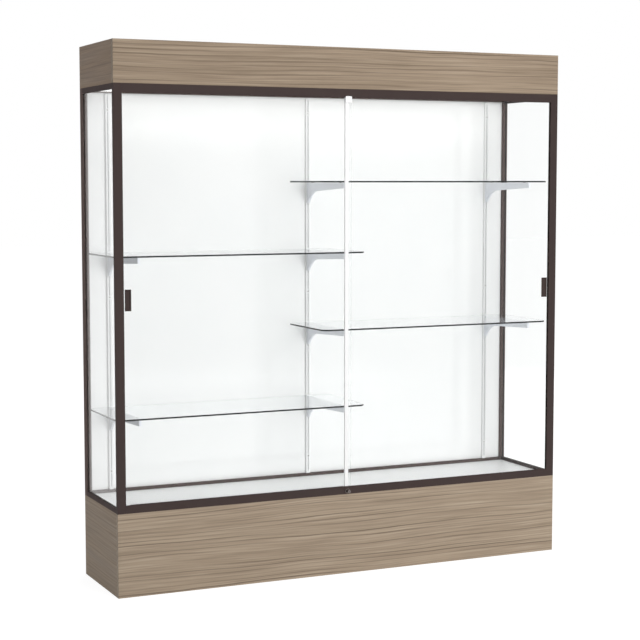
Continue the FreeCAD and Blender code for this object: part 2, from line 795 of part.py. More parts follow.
ceiling_half = rear_post_inner - ceiling_edge_gap
ceiling_rear = rear_frame_front + ceiling_ledge_width - ceiling_edge_gap
save("ceiling_diffuser", box(-ceiling_half, ceiling_half, track_rear + ceiling_edge_gap, ceiling_rear,
                             ceiling_bottom, ceiling_bottom + ceiling_thickness))

# Light fitting, its driver and the leads inside the header
light_half = light_length / 2
light_side = light_width / 2
light_bottom = light_top - light_height
light_shell = box(-light_half, light_half, -light_side, light_side, light_bottom, light_top)
room_half = light_half - light_wall
room_side = light_side - light_wall
light_room = box(-room_half, room_half, -room_side, room_side, light_bottom, light_top - light_wall)
save("led_housing", light_shell.cut(light_room))
save("led_lens", box(-room_half, room_half, -room_side, room_side,
                     light_bottom, light_bottom + lens_thickness))

driver_near = driver_x + driver_length / 2
driver_far = driver_x - driver_length / 2
driver = box(driver_far, driver_near, driver_y - driver_width / 2, driver_y + driver_width / 2,
             light_top - driver_height, light_top)
driver = rounded(driver, driver_round, along_x_at(driver_y - driver_width / 2, light_top - driver_height))
driver = rounded(driver, driver_round, along_x_at(driver_y + driver_width / 2, light_top - driver_height))
save("led_driver", driver)


def lead(points):
    """A round lead of straight runs joined by the largest arcs that the runs allow."""
    points = [FreeCAD.Vector(*point) for point in points]
    edges = []
    start = points[0]
    for before, corner, after in zip(points, points[1:], points[2:]):
        arrive = (corner - before).normalize()
        leave = (after - corner).normalize()
        half_turn = arrive.getAngle(leave) / 2
        tangent = lead_bend_share * min((corner - before).Length, (after - corner).Length)
        radius = tangent / math.tan(half_turn)
        bisector = (leave - arrive).normalize()
        crown = corner + bisector * (radius / math.cos(half_turn) - radius)
        arc_start = corner - arrive * tangent
        arc_end = corner + leave * tangent
        edges.append(Part.LineSegment(start, arc_start).toShape())
        edges.append(Part.Arc(arc_start, crown, arc_end).toShape())
        print("lead radius", round(radius, 1))
        start = arc_end
    edges.append(Part.LineSegment(start, points[-1]).toShape())
    path = Part.Wire(edges)
    circle = Part.Wire(Part.makeCircle(lead_radius, points[0], points[1] - points[0]))
    return path.makePipeShell([circle], True, False)


inlet_inner = rebate_floor - inlet_body_depth
supply_lead = lead([(inlet_x, inlet_inner, header_middle), (inlet_x, driver_y, header_middle),
                    (driver_near + lead_run, driver_y, lead_z), (driver_near, driver_y, lead_z)])
lamp_lead = lead([(driver_far, driver_y, lead_z), (driver_far - lead_run, driver_y, lead_z),
                  (driver_far - lead_run, light_side, lead_z)])
save("lamp_wiring", supply_lead, lamp_lead)

# Power inlet: a plate in the rebate, a socket with three pins and a pocket for the rocker
plate_face = rebate_floor + inlet_plate
plate = box(inlet_x - inlet_plate_width / 2, inlet_x + inlet_plate_width / 2, rebate_floor, plate_face,
            header_middle - inlet_plate_height / 2, header_middle + inlet_plate_height / 2)
inlet_body = box(inlet_x - body_half, inlet_x + body_half, inlet_inner, rebate_floor,
                 header_middle - body_tall, header_middle + body_tall)
socket_x = inlet_x + socket_offset
socket = box(socket_x - socket_width / 2, socket_x + socket_width / 2, plate_face - socket_depth, plate_face,
             header_middle - socket_height / 2, header_middle + socket_height / 2)
rocker_x = inlet_x + rocker_offset
pocket_half = rocker_width / 2 + rocker_side_gap
pocket_tall = rocker_length / 2 + rocker_end_gap
pocket = box(rocker_x - pocket_half, rocker_x + pocket_half, plate_face - rocker_pocket_depth, plate_face,
             header_middle - pocket_tall, header_middle + pocket_tall)
pin_half = pocket_half + rocker_pin_length
pin_start = (rocker_x - pin_half, rebate_floor, header_middle)
pin_hole = rod(rocker_pin_radius + running_clearance, pin_start, (1, 0, 0), 2 * pin_half)
inlet = join(plate, inlet_body).cut([socket, pocket, pin_hole])


def socket_pin(column, height):
    x = socket_x + column * socket_pin_pitch
    z = header_middle + height
    return box(x - socket_pin_width / 2, x + socket_pin_width / 2,
               plate_face - socket_depth, plate_face - socket_depth + socket_pin_length,
               z - socket_pin_height / 2, z + socket_pin_height / 2)


pin_step = socket_pin_height / 2
socket_pins = [socket_pin(-1, -pin_step), socket_pin(0, pin_step), socket_pin(1, -pin_step)]
save("power_inlet", join(inlet, *socket_pins))

rocker_half = rocker_length / 2
rocker_outline = [(0, -rocker_half, rocker_crown), (0, 0, rocker_valley), (0, rocker_half, rocker_crown),
                  (0, rocker_half, -rocker_pin_radius), (0, rocker_half / 2, -rocker_back),
                  (0, -rocker_half / 2, -rocker_back), (0, -rocker_half, -rocker_pin_radius)]
rocker_points = [(0, rebate_floor + out, header_middle + along) for _, along, out in rocker_outline]
rocker_edges = [line(a, b) for a, b in zip(rocker_points, rocker_points[1:] + rocker_points[:1])]
rocker = side_profile(rocker_edges, rocker_x - rocker_width / 2, rocker_width)
rocker_pins = rod(rocker_pin_radius, pin_start, (1, 0, 0), 2 * pin_half)
rocker = join(rocker, rocker_pins)
rocker.rotate(FreeCAD.Vector(rocker_x, rebate_floor, header_middle), FreeCAD.Vector(1, 0, 0), -rocker_tilt)
save("switch_rocker", rocker)
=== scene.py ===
# %% [markdown]
# # A lighted display case
#
# A free-standing case: a boarded base in a wood-grain laminate, a glazed middle in a dark bronze frame with
# two sliding glass doors and four glass shelves, and a boarded header that hides the light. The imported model
# already holds every piece with a real size. This lesson gives each piece its finish, models the small
# pieces again where a close look asks for more, and sets up the picture.

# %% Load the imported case
import bpy
import bmesh
import math
from mathutils import Matrix, Vector


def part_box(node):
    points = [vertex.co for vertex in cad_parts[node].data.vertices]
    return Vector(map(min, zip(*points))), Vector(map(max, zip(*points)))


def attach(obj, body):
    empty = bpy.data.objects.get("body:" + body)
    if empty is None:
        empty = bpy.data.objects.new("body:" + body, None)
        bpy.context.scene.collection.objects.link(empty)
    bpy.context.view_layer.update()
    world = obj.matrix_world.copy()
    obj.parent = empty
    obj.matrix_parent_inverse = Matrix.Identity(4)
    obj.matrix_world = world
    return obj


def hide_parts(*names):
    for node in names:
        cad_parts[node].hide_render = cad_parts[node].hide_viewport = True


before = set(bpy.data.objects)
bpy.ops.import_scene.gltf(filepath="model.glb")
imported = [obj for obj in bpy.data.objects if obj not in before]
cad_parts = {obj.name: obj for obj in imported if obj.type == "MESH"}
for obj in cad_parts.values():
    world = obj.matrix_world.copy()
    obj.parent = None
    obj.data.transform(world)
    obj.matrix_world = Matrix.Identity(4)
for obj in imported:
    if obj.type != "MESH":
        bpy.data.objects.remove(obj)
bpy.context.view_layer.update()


# %% [markdown]
# ## The camera
#
# The photograph looks at the case from the left and from a little above its middle. The place, the
# direction and the lens were worked out from the corners of the case, so they are set as numbers. A long
# lens keeps the uprights nearly parallel, as in a catalogue picture.

# %% Set up the camera
def set_up(name, data, place, direction):
    """A camera or a lamp that stands at a place and looks along a direction."""
    thing = bpy.data.objects.new(name, data)
    bpy.context.scene.collection.objects.link(thing)
    thing.location = place
    thing.rotation_mode = "QUATERNION"
    thing.rotation_quaternion = direction.to_track_quat("-Z", "Y")
    return thing


case_middle = Vector((0.0, 0.0, 1.0))
camera_place = Vector((-2.6176, -5.5980, 1.4878))
camera_azimuth = math.radians(-24.829)
camera_elevation = math.radians(4.963)
towards_camera = Vector((math.sin(camera_azimuth) * math.cos(camera_elevation),
                         -math.cos(camera_azimuth) * math.cos(camera_elevation),
                         math.sin(camera_elevation)))
film_width = 36.0
lens_length = 90.0
far_limit = 200.0
camera_data = bpy.data.cameras.new("catalogue_camera")
camera_data.sensor_width = film_width
camera_data.lens = lens_length
camera_data.clip_end = far_limit
bpy.context.scene.camera = set_up("catalogue_camera", camera_data, camera_place, -towards_camera)
print("camera stands", round((camera_place - case_middle).length, 2), "m from the case")


# %% [markdown]
# ## Nodes by hand
#
# Every finish here is a small network of shader nodes. A few helpers keep the networks short to write: they
# add a node and fill in its numbers, start a finish with its Principled shader, and do one sum or one blend
# of colours at a time. A number that is the same all over a piece is set on the shader itself.

# %% Helpers that add and fill nodes
def feed(tree, value, socket):
    """Link a socket to another one, or set it to a number or a colour."""
    if isinstance(value, bpy.types.NodeSocket):
        tree.links.new(value, socket)
    elif isinstance(value, tuple):
        socket.default_value = (*value, 1.0)
    else:
        socket.default_value = value


def fill_in(node, numbers):
    """Set inputs of a node by name, with _ in place of a space."""
    for name, number in numbers.items():
        node.inputs[name.replace("_", " ")].default_value = number
    return node


def add_node(tree, kind, **numbers):
    """A new node in a tree, with some of its inputs set by name."""
    return fill_in(tree.nodes.new(kind), numbers)


def start_finish(name):
    """A new material, its node tree and its Principled shader."""
    finish = bpy.data.materials.new(name)
    finish.use_nodes = True
    tree = finish.node_tree
    return finish, tree, tree.nodes["Principled BSDF"]


def set_shader(finish, **numbers):
    """Set numbers that are the same all over a piece on the shader of its finish."""
    fill_in(finish.node_tree.nodes["Principled BSDF"], numbers)


def place_on_piece(tree):
    """Coordinates fixed to the piece, in metres."""
    return tree.nodes.new("ShaderNodeTexCoord").outputs["Object"]


# %% Helpers that reckon with values and colours
def math_step(tree, operation, first, second):
    """One sum. Each side is a socket or a number."""
    node = tree.nodes.new("ShaderNodeMath")
    node.operation = operation
    feed(tree, first, node.inputs[0])
    feed(tree, second, node.inputs[1])
    return node.outputs["Value"]


def stretch_range(tree, value, from_low, from_high, to_low=0.0, to_high=1.0):
    """A value moved from one range to another and held inside it."""
    node = add_node(tree, "ShaderNodeMapRange", From_Min=from_low, From_Max=from_high)
    for wanted, name in ((value, "Value"), (to_low, "To Min"), (to_high, "To Max")):
        feed(tree, wanted, node.inputs[name])
    return node.outputs["Result"]


# A Mix node has sockets for several kinds of data, and these are the places of its colour sockets.
mix_low, mix_high, mix_result = 6, 7, 2


def colour_between(tree, share, low, high):
    """A colour that goes from low to high with the share. Each end is a socket or a colour."""
    node = tree.nodes.new("ShaderNodeMix")
    node.data_type = "RGBA"
    tree.links.new(share, node.inputs["Factor"])
    feed(tree, low, node.inputs[mix_low])
    feed(tree, high, node.inputs[mix_high])
    return node.outputs[mix_result]


def seen_directly(tree):
    """1 for rays from the camera, from a mirror and through glass, and 0 for the rest."""
    path = tree.nodes.new("ShaderNodeLightPath")
    either = math_step(tree, "MAXIMUM", path.outputs["Is Camera Ray"], path.outputs["Is Glossy Ray"])
    return math_step(tree, "MAXIMUM", either, path.outputs["Is Transmission Ray"])


# %% [markdown]
# ## The studio
#
# The picture has a plain white ground and soft light. The ground is a big plane that shows as white to
# the camera, and still takes a faint shadow, because a part of its brightness comes from the lamps. To the
# case it is a plain grey floor that throws some light back up.

# %% Ground
ground_size = 60.0
ground_drop = 0.0005
bpy.ops.object.select_all(action="DESELECT")
bpy.ops.mesh.primitive_plane_add(size=ground_size, location=(0, 0, -ground_drop))
ground = bpy.context.object
ground.name = "studio_floor"

full_white = (1.0, 1.0, 1.0, 1.0)
grey_for_light = (0.62, 0.62, 0.62)
grey_when_seen = (0.25, 0.25, 0.25)
floor_glow = 0.90
floor_paint, floor_tree, floor_shader = start_finish("studio_floor_paint")
floor_seen = seen_directly(floor_tree)
floor_tree.links.new(colour_between(floor_tree, floor_seen, grey_for_light, grey_when_seen),
                     floor_shader.inputs["Base Color"])
floor_tree.links.new(math_step(floor_tree, "MULTIPLY", floor_seen, floor_glow),
                     floor_shader.inputs["Emission Strength"])
set_shader(floor_paint, Roughness=1.0, Specular_IOR_Level=0.0, Emission_Color=full_white)
ground.data.materials.append(floor_paint)
print("the ground is", ground_size, "m wide")

# %% [markdown]
# The world does the same: it is white where the camera, a mirror or a pane of glass looks at it, and a dimmer
# grey where it lights the case.

# %% World
world_light = 0.42
seen_light = 1.0
world = bpy.data.worlds.new("studio_world")
bpy.context.scene.world = world
world.use_nodes = True
world_tree = world.node_tree
sky = world_tree.nodes["Background"]
sky.inputs["Color"].default_value = full_white
world_tree.links.new(stretch_range(world_tree, seen_directly(world_tree), 0.0, 1.0, world_light, seen_light),
                     sky.inputs["Strength"])
bpy.context.scene.view_settings.view_transform = "Standard"
print("the world lights the case at", world_light, "and is seen at", seen_light)


# %% [markdown]
# Three soft boxes light the case. The big one stands in front and to the right, so the front is bright and
# the left end is in half shade. One above it lights the top and the display floor, and a third fills in the
# back. None shows in the glass or in the gloss of the back panel, where its square outline would be a stain.

# %% Soft boxes
def soft_box(name, place, size, watts):
    """A square lamp that points at the middle of the case, and that no mirror or pane shows."""
    lamp_data = bpy.data.lights.new(name, "AREA")
    lamp_data.shape = "SQUARE"
    lamp_data.size = size
    lamp_data.energy = watts
    lamp = set_up(name, lamp_data, place, case_middle - Vector(place))
    lamp.visible_glossy = False
    lamp.visible_transmission = False


soft_box("front_soft_box", (1.6, -6.2, 1.7), size=3.2, watts=229.0)
soft_box("top_soft_box", (0.5, -3.0, 5.0), size=3.0, watts=60.0)
soft_box("rear_soft_box", (2.6, 5.5, 2.4), size=3.0, watts=130.0)
print("lamps:", [lamp.name for lamp in bpy.data.lights])


# %% [markdown]
# ## Shared effects
#
# Three effects are used by more than one finish, so each is built once as a node group: the grain of the
# laminate, a faint unevenness of a smooth surface, and the mask that finds the cut edges of a glass pane.
# A group gives only masks and values, and each finish keeps its own shader.

# %% A group with named inputs and outputs
def new_group(name, inputs, outputs):
    """An empty node group. An input has a starting number or vector, and an output is a number."""
    group = bpy.data.node_groups.new(name, "ShaderNodeTree")
    for socket_name, start in inputs.items():
        kind = "NodeSocketVector" if isinstance(start, tuple) else "NodeSocketFloat"
        group.interface.new_socket(socket_name, in_out="INPUT", socket_type=kind).default_value = start
    for socket_name in outputs:
        group.interface.new_socket(socket_name, in_out="OUTPUT", socket_type="NodeSocketFloat")
    return group, group.nodes.new("NodeGroupInput"), group.nodes.new("NodeGroupOutput")


def use_group(tree, group, **numbers):
    """A group placed in a tree, with some of its inputs set by name."""
    node = tree.nodes.new("ShaderNodeGroup")
    node.node_tree = group
    return fill_in(node, numbers)


# %% [markdown]
# The laminate is a print of weathered ash. Its grain runs along the boards in lines that wander, fade and
# come back. A wave of bands across the board gives the lines, a slow noise and a quicker one bend them, and
# another noise decides where they are strong. Fine fibres and a broad change of tone lie under them.

# %% Bends of the wood grain
grain_group, grain_in, grain_out = new_group(
    "laminate_grain", {"Along": 0.0, "Across": 0.0, "Line Scale": 20.0}, ("Lines", "Fibre", "Tone"))
along = grain_in.outputs["Along"]
across = grain_in.outputs["Across"]


def grain_noise(side, along_scale, side_scale, detail):
    """Noise that is drawn out along the grain."""
    place = grain_group.nodes.new("ShaderNodeCombineXYZ")
    grain_group.links.new(math_step(grain_group, "MULTIPLY", along, along_scale), place.inputs["X"])
    grain_group.links.new(math_step(grain_group, "MULTIPLY", side, side_scale), place.inputs["Y"])
    noise = add_node(grain_group, "ShaderNodeTexNoise", Scale=1.0, Detail=detail, Roughness=0.55)
    grain_group.links.new(place.outputs["Vector"], noise.inputs["Vector"])
    return noise.outputs["Fac"]


bent_across = across
for along_scale, side_scale, detail, bend in ((0.9, 4.0, 1.0, 0.050), (3.5, 20.0, 2.0, 0.009)):
    wander = math_step(grain_group, "MULTIPLY", grain_noise(across, along_scale, side_scale, detail), bend)
    bent_across = math_step(grain_group, "ADD", bent_across, wander)
print(grain_group.name, "has", len(grain_group.nodes), "nodes so far")

# %% Lines, fibres and tone of the wood grain
band_place = grain_group.nodes.new("ShaderNodeCombineXYZ")
grain_group.links.new(bent_across, band_place.inputs["Y"])
bands = add_node(grain_group, "ShaderNodeTexWave", Distortion=0.0, Detail=0.0)
bands.wave_type = "BANDS"
bands.bands_direction = "Y"
bands.wave_profile = "SIN"
grain_group.links.new(grain_in.outputs["Line Scale"], bands.inputs["Scale"])
grain_group.links.new(band_place.outputs["Vector"], bands.inputs["Vector"])
thin_lines = stretch_range(grain_group, bands.outputs["Fac"], 0.70, 1.0)
fading = grain_noise(bent_across, along_scale=0.9, side_scale=34.0, detail=1.0)
line_strength = stretch_range(grain_group, fading, 0.36, 0.66)
lines = math_step(grain_group, "MULTIPLY", thin_lines, line_strength)
fibre = grain_noise(bent_across, along_scale=3.0, side_scale=170.0, detail=4.0)
tone = grain_noise(bent_across, along_scale=1.3, side_scale=26.0, detail=3.0)
for value, name in ((lines, "Lines"), (fibre, "Fibre"), (tone, "Tone")):
    grain_group.links.new(value, grain_out.inputs[name])
print(grain_group.name, "has", len(grain_group.nodes), "nodes")

# %% [markdown]
# A smooth surface is never quite even: paint, anodising and plastic all shine a little more here and less
# there. This group gives a roughness between two limits, and a fine height for a faint texture.

# %% Uneven surface group
uneven_group, uneven_in, uneven_out = new_group(
    "uneven_surface",
    {"Vector": (0.0, 0.0, 0.0), "Patch Scale": 30.0, "Fine Scale": 900.0, "Low": 0.2, "High": 0.4},
    ("Roughness", "Height", "Patch"))
patch_noise = add_node(uneven_group, "ShaderNodeTexNoise", Detail=4.0, Roughness=0.6)
fine_noise = add_node(uneven_group, "ShaderNodeTexNoise", Detail=2.0, Roughness=0.5)
for noise, scale in ((patch_noise, "Patch Scale"), (fine_noise, "Fine Scale")):
    uneven_group.links.new(uneven_in.outputs["Vector"], noise.inputs["Vector"])
    uneven_group.links.new(uneven_in.outputs[scale], noise.inputs["Scale"])
patch = patch_noise.outputs["Fac"]
shine = stretch_range(uneven_group, patch, 0.3, 0.7, uneven_in.outputs["Low"], uneven_in.outputs["High"])
for value, name in ((shine, "Roughness"), (fine_noise.outputs["Fac"], "Height"), (patch, "Patch")):
    uneven_group.links.new(value, uneven_out.inputs[name])
print(uneven_group.name, "has", len(uneven_group.nodes), "nodes")

# %% [markdown]
# A pane of float glass is clear through its faces, and dark along its cut edges, where one looks through
# much more glass. The group compares the surface's direction with that of the big faces: 0 on a face, 1 on
# an edge.

# %% Glass edge group
face_limit = 0.9
edge_group, edge_in, edge_out = new_group("pane_edge", {"Face Direction": (0.0, 0.0, 1.0)}, ("Edge",))
surface = edge_group.nodes.new("ShaderNodeNewGeometry")
facing = edge_group.nodes.new("ShaderNodeVectorMath")
facing.operation = "DOT_PRODUCT"
edge_group.links.new(surface.outputs["True Normal"], facing.inputs[0])
edge_group.links.new(edge_in.outputs["Face Direction"], facing.inputs[1])
how_flat = math_step(edge_group, "ABSOLUTE", facing.outputs["Value"], 0.0)
edge_group.links.new(math_step(edge_group, "LESS_THAN", how_flat, face_limit), edge_out.inputs["Edge"])
print("groups:", sorted(group.name for group in bpy.data.node_groups))

# %% [markdown]
# ## Laminate
#
# The boards of the base and the header share one print, laid with its grain along each board: along the
# case on the front and the back, and from front to back on the ends. Light and shade are painted into the
# print: the base a shade lighter, the header a shade darker, and the ends a shade darker and warmer than the
# fronts, with calmer lines. So there are four finishes of one recipe, each with its own direction, painted
# light and shade, and strength of line.

# %% Recipe for the laminate
ash_light = (0.386, 0.306, 0.226)
ash_dark = (0.296, 0.229, 0.165)
ash_line = (0.118, 0.086, 0.060)
ash_pale = (0.470, 0.390, 0.302)
grain_scale = 20.0
grain_relief = 0.12
grain_depth = 0.0004


def shaded(colour, shade):
    """A colour with each of its channels made lighter or darker, as painted light and shade."""
    return tuple(channel * share for channel, share in zip(colour, shade))


def laminate(name, along_axis, line_share, shade):
    """The ash print with its grain along X or Y, its lines at a share of full strength, and painted light and
    shade.
    """
    finish, tree, shader = start_finish(name)
    light, dark, line, pale = (shaded(colour, shade) for colour in (ash_light, ash_dark, ash_line, ash_pale))
    place = tree.nodes.new("ShaderNodeSeparateXYZ")
    tree.links.new(place_on_piece(tree), place.inputs["Vector"])
    side_axis = "Y" if along_axis == "X" else "X"
    side = math_step(tree, "ADD", place.outputs["Z"], place.outputs[side_axis])
    grain = use_group(tree, grain_group, Line_Scale=grain_scale)
    tree.links.new(place.outputs[along_axis], grain.inputs["Along"])
    tree.links.new(side, grain.inputs["Across"])
    lines, fibre, tone = (grain.outputs[output] for output in ("Lines", "Fibre", "Tone"))
    board = colour_between(tree, stretch_range(tree, tone, 0.30, 0.70), dark, light)
    board = colour_between(tree, stretch_range(tree, fibre, 0.48, 0.74, 0.0, 0.45), board, line)
    board = colour_between(tree, stretch_range(tree, fibre, 0.30, 0.46, 0.55, 0.0), board, pale)
    board = colour_between(tree, math_step(tree, "MULTIPLY", lines, line_share), board, line)
    tree.links.new(board, shader.inputs["Base Color"])
    tree.links.new(stretch_range(tree, tone, 0.3, 0.7, 0.50, 0.62), shader.inputs["Roughness"])
    bump = add_node(tree, "ShaderNodeBump", Strength=grain_relief, Distance=grain_depth)
    tree.links.new(math_step(tree, "SUBTRACT", fibre, lines), bump.inputs["Height"])
    tree.links.new(bump.outputs["Normal"], shader.inputs["Normal"])
    set_shader(finish, Specular_IOR_Level=0.28)
    return finish


# %% Laminate finishes
front_lines = 0.80
end_lines = 0.40
# The base front is painted a shade lighter, and the header front a shade darker. Both ends are painted a shade
# darker and warmer. These are painted light and painted shade, not colours of the print.
base_front_painted_light = laminate("ash_laminate_base_painted_light", "X", front_lines, (1.06, 1.06, 1.06))
base_end_painted_shade = laminate("ash_laminate_base_end_painted_shade", "Y", end_lines, (0.92, 0.88, 0.84))
header_front_painted_shade = laminate("ash_laminate_header_painted_shade", "X", front_lines, (0.88, 0.86, 0.84))
header_end_painted_shade = laminate("ash_laminate_header_end_painted_shade", "Y", end_lines, (0.85, 0.75, 0.68))
print("laminates:", [finish.name for finish in (base_front_painted_light, base_end_painted_shade, header_front_painted_shade, header_end_painted_shade)])

# %% [markdown]
# ## Plain finishes
#
# Painted metal, anodised aluminium, plastic, rubber and raw board differ in colour, in shine and in how
# coarse their texture is. One recipe makes them all: two close colours in soft patches, a roughness between
# two limits, and a fine bump.

# %% Recipe for a plain finish
texture_depth = 0.0002


def plain_finish(name, colours, rough, metallic=0.0, patch_scale=30.0, fine_scale=900.0, bump_strength=0.05):
    """A finish in patches of two colours, with a roughness between two limits and a fine bump."""
    finish, tree, shader = start_finish(name)
    uneven = use_group(tree, uneven_group, Patch_Scale=patch_scale, Fine_Scale=fine_scale,
                       Low=rough[0], High=rough[1])
    tree.links.new(place_on_piece(tree), uneven.inputs["Vector"])
    share = stretch_range(tree, uneven.outputs["Patch"], 0.35, 0.65)
    tree.links.new(colour_between(tree, share, *colours), shader.inputs["Base Color"])
    tree.links.new(uneven.outputs["Roughness"], shader.inputs["Roughness"])
    bump = add_node(tree, "ShaderNodeBump", Strength=bump_strength, Distance=texture_depth)
    tree.links.new(uneven.outputs["Height"], bump.inputs["Height"])
    tree.links.new(bump.outputs["Normal"], shader.inputs["Normal"])
    set_shader(finish, Metallic=metallic)
    return finish


# %% Bronze frame, lock and plated steel
bronze = plain_finish("dark_bronze_anodised", ((0.060, 0.044, 0.042), (0.066, 0.049, 0.046)), (0.40, 0.52),
                      metallic=0.6, patch_scale=14.0)
# The rear posts and rails get the same bronze painted lighter. This painted light stands in for the reflection
# of the glass that lies over them.
rear_bronze_painted_light = plain_finish("rear_bronze_anodised_painted_light", ((0.108, 0.080, 0.074), (0.116, 0.087, 0.080)),
                           (0.40, 0.52), metallic=0.6, patch_scale=14.0)
for finish in (bronze, rear_bronze_painted_light):
    set_shader(finish, Specular_IOR_Level=0.2, Specular_Tint=(0.30, 0.23, 0.21, 1.0))
lock_metal = plain_finish("dark_nickel_lock", ((0.20, 0.175, 0.165), (0.23, 0.20, 0.19)), (0.20, 0.30),
                          metallic=1.0, patch_scale=120.0)
plated_steel = plain_finish("plated_steel", ((0.56, 0.55, 0.53), (0.50, 0.49, 0.47)), (0.22, 0.34),
                            metallic=1.0, patch_scale=120.0)
print("metals:", [finish.name for finish in (bronze, rear_bronze_painted_light, lock_metal, plated_steel)])

# %% Panels, paints, plastics and rubber
raw_board = plain_finish("raw_particle_board", ((0.50, 0.39, 0.26), (0.36, 0.27, 0.17)), (0.75, 0.9),
                         patch_scale=320.0, fine_scale=700.0, bump_strength=0.3)
white_gloss = plain_finish("white_gloss_panel", ((0.93, 0.93, 0.93), (0.915, 0.918, 0.92)), (0.05, 0.09),
                           patch_scale=5.0, fine_scale=60.0, bump_strength=0.01)
floor_white = plain_finish("white_display_floor", ((0.94, 0.94, 0.94), (0.93, 0.932, 0.934)), (0.36, 0.46),
                           patch_scale=8.0, fine_scale=500.0, bump_strength=0.03)
white_paint = plain_finish("white_powder_coat", ((0.90, 0.90, 0.90), (0.88, 0.885, 0.89)), (0.30, 0.40),
                           fine_scale=1400.0, bump_strength=0.08)
bracket_paint = plain_finish("pale_grey_paint", ((0.83, 0.85, 0.91), (0.86, 0.88, 0.93)), (0.28, 0.38),
                             fine_scale=1400.0, bump_strength=0.06)
white_plastic = plain_finish("white_moulded_plastic", ((0.90, 0.90, 0.90), (0.88, 0.88, 0.88)), (0.25, 0.35),
                             bump_strength=0.03)
nylon = plain_finish("natural_nylon", ((0.78, 0.77, 0.71), (0.74, 0.73, 0.67)), (0.4, 0.5))
black_plastic = plain_finish("black_moulded_plastic", ((0.022, 0.022, 0.023), (0.030, 0.030, 0.031)),
                             (0.4, 0.55), fine_scale=1600.0, bump_strength=0.2)
rubber = plain_finish("black_rubber", ((0.020, 0.020, 0.020), (0.028, 0.028, 0.027)), (0.65, 0.8),
                      fine_scale=1200.0, bump_strength=0.15)
print(len(bpy.data.materials), "materials so far")

# %% [markdown]
# ## The lit ceiling
#
# The ceiling is a sheet of opal plastic that spreads the light of the lamp above it. It glows softly and
# evenly, so its emission is a plain number, and a fine bump gives it the look of an extruded sheet.

# %% Opal sheet and lamp lens
ceiling_glow = 0.7
lens_glow = 2.0
opal = plain_finish("opal_diffuser", ((0.93, 0.93, 0.92), (0.91, 0.91, 0.90)), (0.35, 0.45),
                    fine_scale=350.0, bump_strength=0.10)
set_shader(opal, Emission_Color=(1.0, 0.99, 0.97, 1.0), Emission_Strength=ceiling_glow)
lamp_lens = plain_finish("lamp_lens", ((0.95, 0.95, 0.93), (0.93, 0.93, 0.91)), (0.3, 0.4))
set_shader(lamp_lens, Emission_Color=(1.0, 0.97, 0.92, 1.0), Emission_Strength=lens_glow)
print("the ceiling glows at", ceiling_glow, "and the lens above it at", lens_glow)


# %% [markdown]
# ## Glass
#
# The panes are clear glass with cut edges. Glass in a renderer stops the lamps' light, because a lamp can't
# be aimed through a bent ray, so rays that only carry light pass straight through: a Mix Shader swaps the
# glass for a Transparent shader on those rays. The camera still sees real glass. All the panes mirror less
# than plain glass, as picture glass does, so that the white room doesn't lie as a veil over what is inside,
# or whiten the dark edges of the shelves. The end panes are seen at a slant, where glass mirrors most, so
# they also bend the light less.

# %% Recipe for a pane
def pane_glass(name, face_direction, face_tint, edge_tint, mirror_share, bending=1.5):
    """Clear glass with a tint on its faces and another on its cut edges, seen from outside the pane."""
    finish, tree, shader = start_finish(name)
    edge = use_group(tree, edge_group, Face_Direction=face_direction)
    surface = tree.nodes.new("ShaderNodeNewGeometry")
    from_outside = math_step(tree, "SUBTRACT", 1.0, surface.outputs["Backfacing"])
    cut_edge = math_step(tree, "MULTIPLY", edge.outputs["Edge"], from_outside)
    tree.links.new(colour_between(tree, cut_edge, face_tint, edge_tint), shader.inputs["Base Color"])
    uneven = use_group(tree, uneven_group, Patch_Scale=6.0, Fine_Scale=40.0, Low=0.0, High=0.012)
    tree.links.new(place_on_piece(tree), uneven.inputs["Vector"])
    tree.links.new(uneven.outputs["Roughness"], shader.inputs["Roughness"])
    set_shader(finish, Transmission_Weight=1.0, IOR=bending,
               Specular_Tint=(mirror_share, mirror_share, mirror_share, 1.0))
    path = tree.nodes.new("ShaderNodeLightPath")
    only_light = math_step(tree, "MAXIMUM", path.outputs["Is Shadow Ray"], path.outputs["Is Diffuse Ray"])
    clear = add_node(tree, "ShaderNodeBsdfTransparent", Color=(0.985, 0.99, 0.988, 1.0))
    swap = tree.nodes.new("ShaderNodeMixShader")
    tree.links.new(only_light, swap.inputs["Fac"])
    tree.links.new(shader.outputs["BSDF"], swap.inputs[1])
    tree.links.new(clear.outputs["BSDF"], swap.inputs[2])
    tree.links.new(swap.outputs["Shader"], tree.nodes["Material Output"].inputs["Surface"])
    return finish


# %% Glass finishes
clear_tint = (0.985, 0.992, 0.990)
shelf_tint = (0.97, 0.982, 0.988)
upright_edge = (0.55, 0.68, 0.65)
shelf_edge = (0.0004, 0.0005, 0.0006)
door_glass = pane_glass("door_glass", (0.0, 1.0, 0.0), clear_tint, upright_edge, mirror_share=0.4)
end_glass = pane_glass("end_pane_glass", (1.0, 0.0, 0.0), clear_tint, upright_edge, mirror_share=0.4,
                       bending=1.2)
shelf_glass = pane_glass("shelf_glass", (0.0, 0.0, 1.0), shelf_tint, shelf_edge, mirror_share=0.08)
print("glass:", [finish.name for finish in (door_glass, end_glass, shelf_glass)])


# %% [markdown]
# ## Modelling by hand
#
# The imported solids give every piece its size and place. The small pieces that one touches or looks at from
# close by are modelled again here, with the rounded rims and recesses that a maker gives them. Each starts as
# a block, a cylinder or a drawn outline, and is shaped in edit mode. The helpers below do the parts of that
# work that come back every time: start a piece, pick faces or edges by their place, and close the piece.

# %% Start from a block or a rod
def open_primitive(name):
    """Put a new primitive's place into its mesh, name it and open it in edit mode."""
    bpy.ops.object.transform_apply(location=True, rotation=True, scale=True)
    bpy.context.object.name = name
    bpy.ops.object.mode_set(mode="EDIT")
    return bpy.context.object


def start_block(name, low, high):
    """A block between two corners, left open in edit mode."""
    bpy.ops.object.select_all(action="DESELECT")
    bpy.ops.mesh.primitive_cube_add(size=1.0, location=(low + high) / 2, scale=high - low)
    return open_primitive(name)


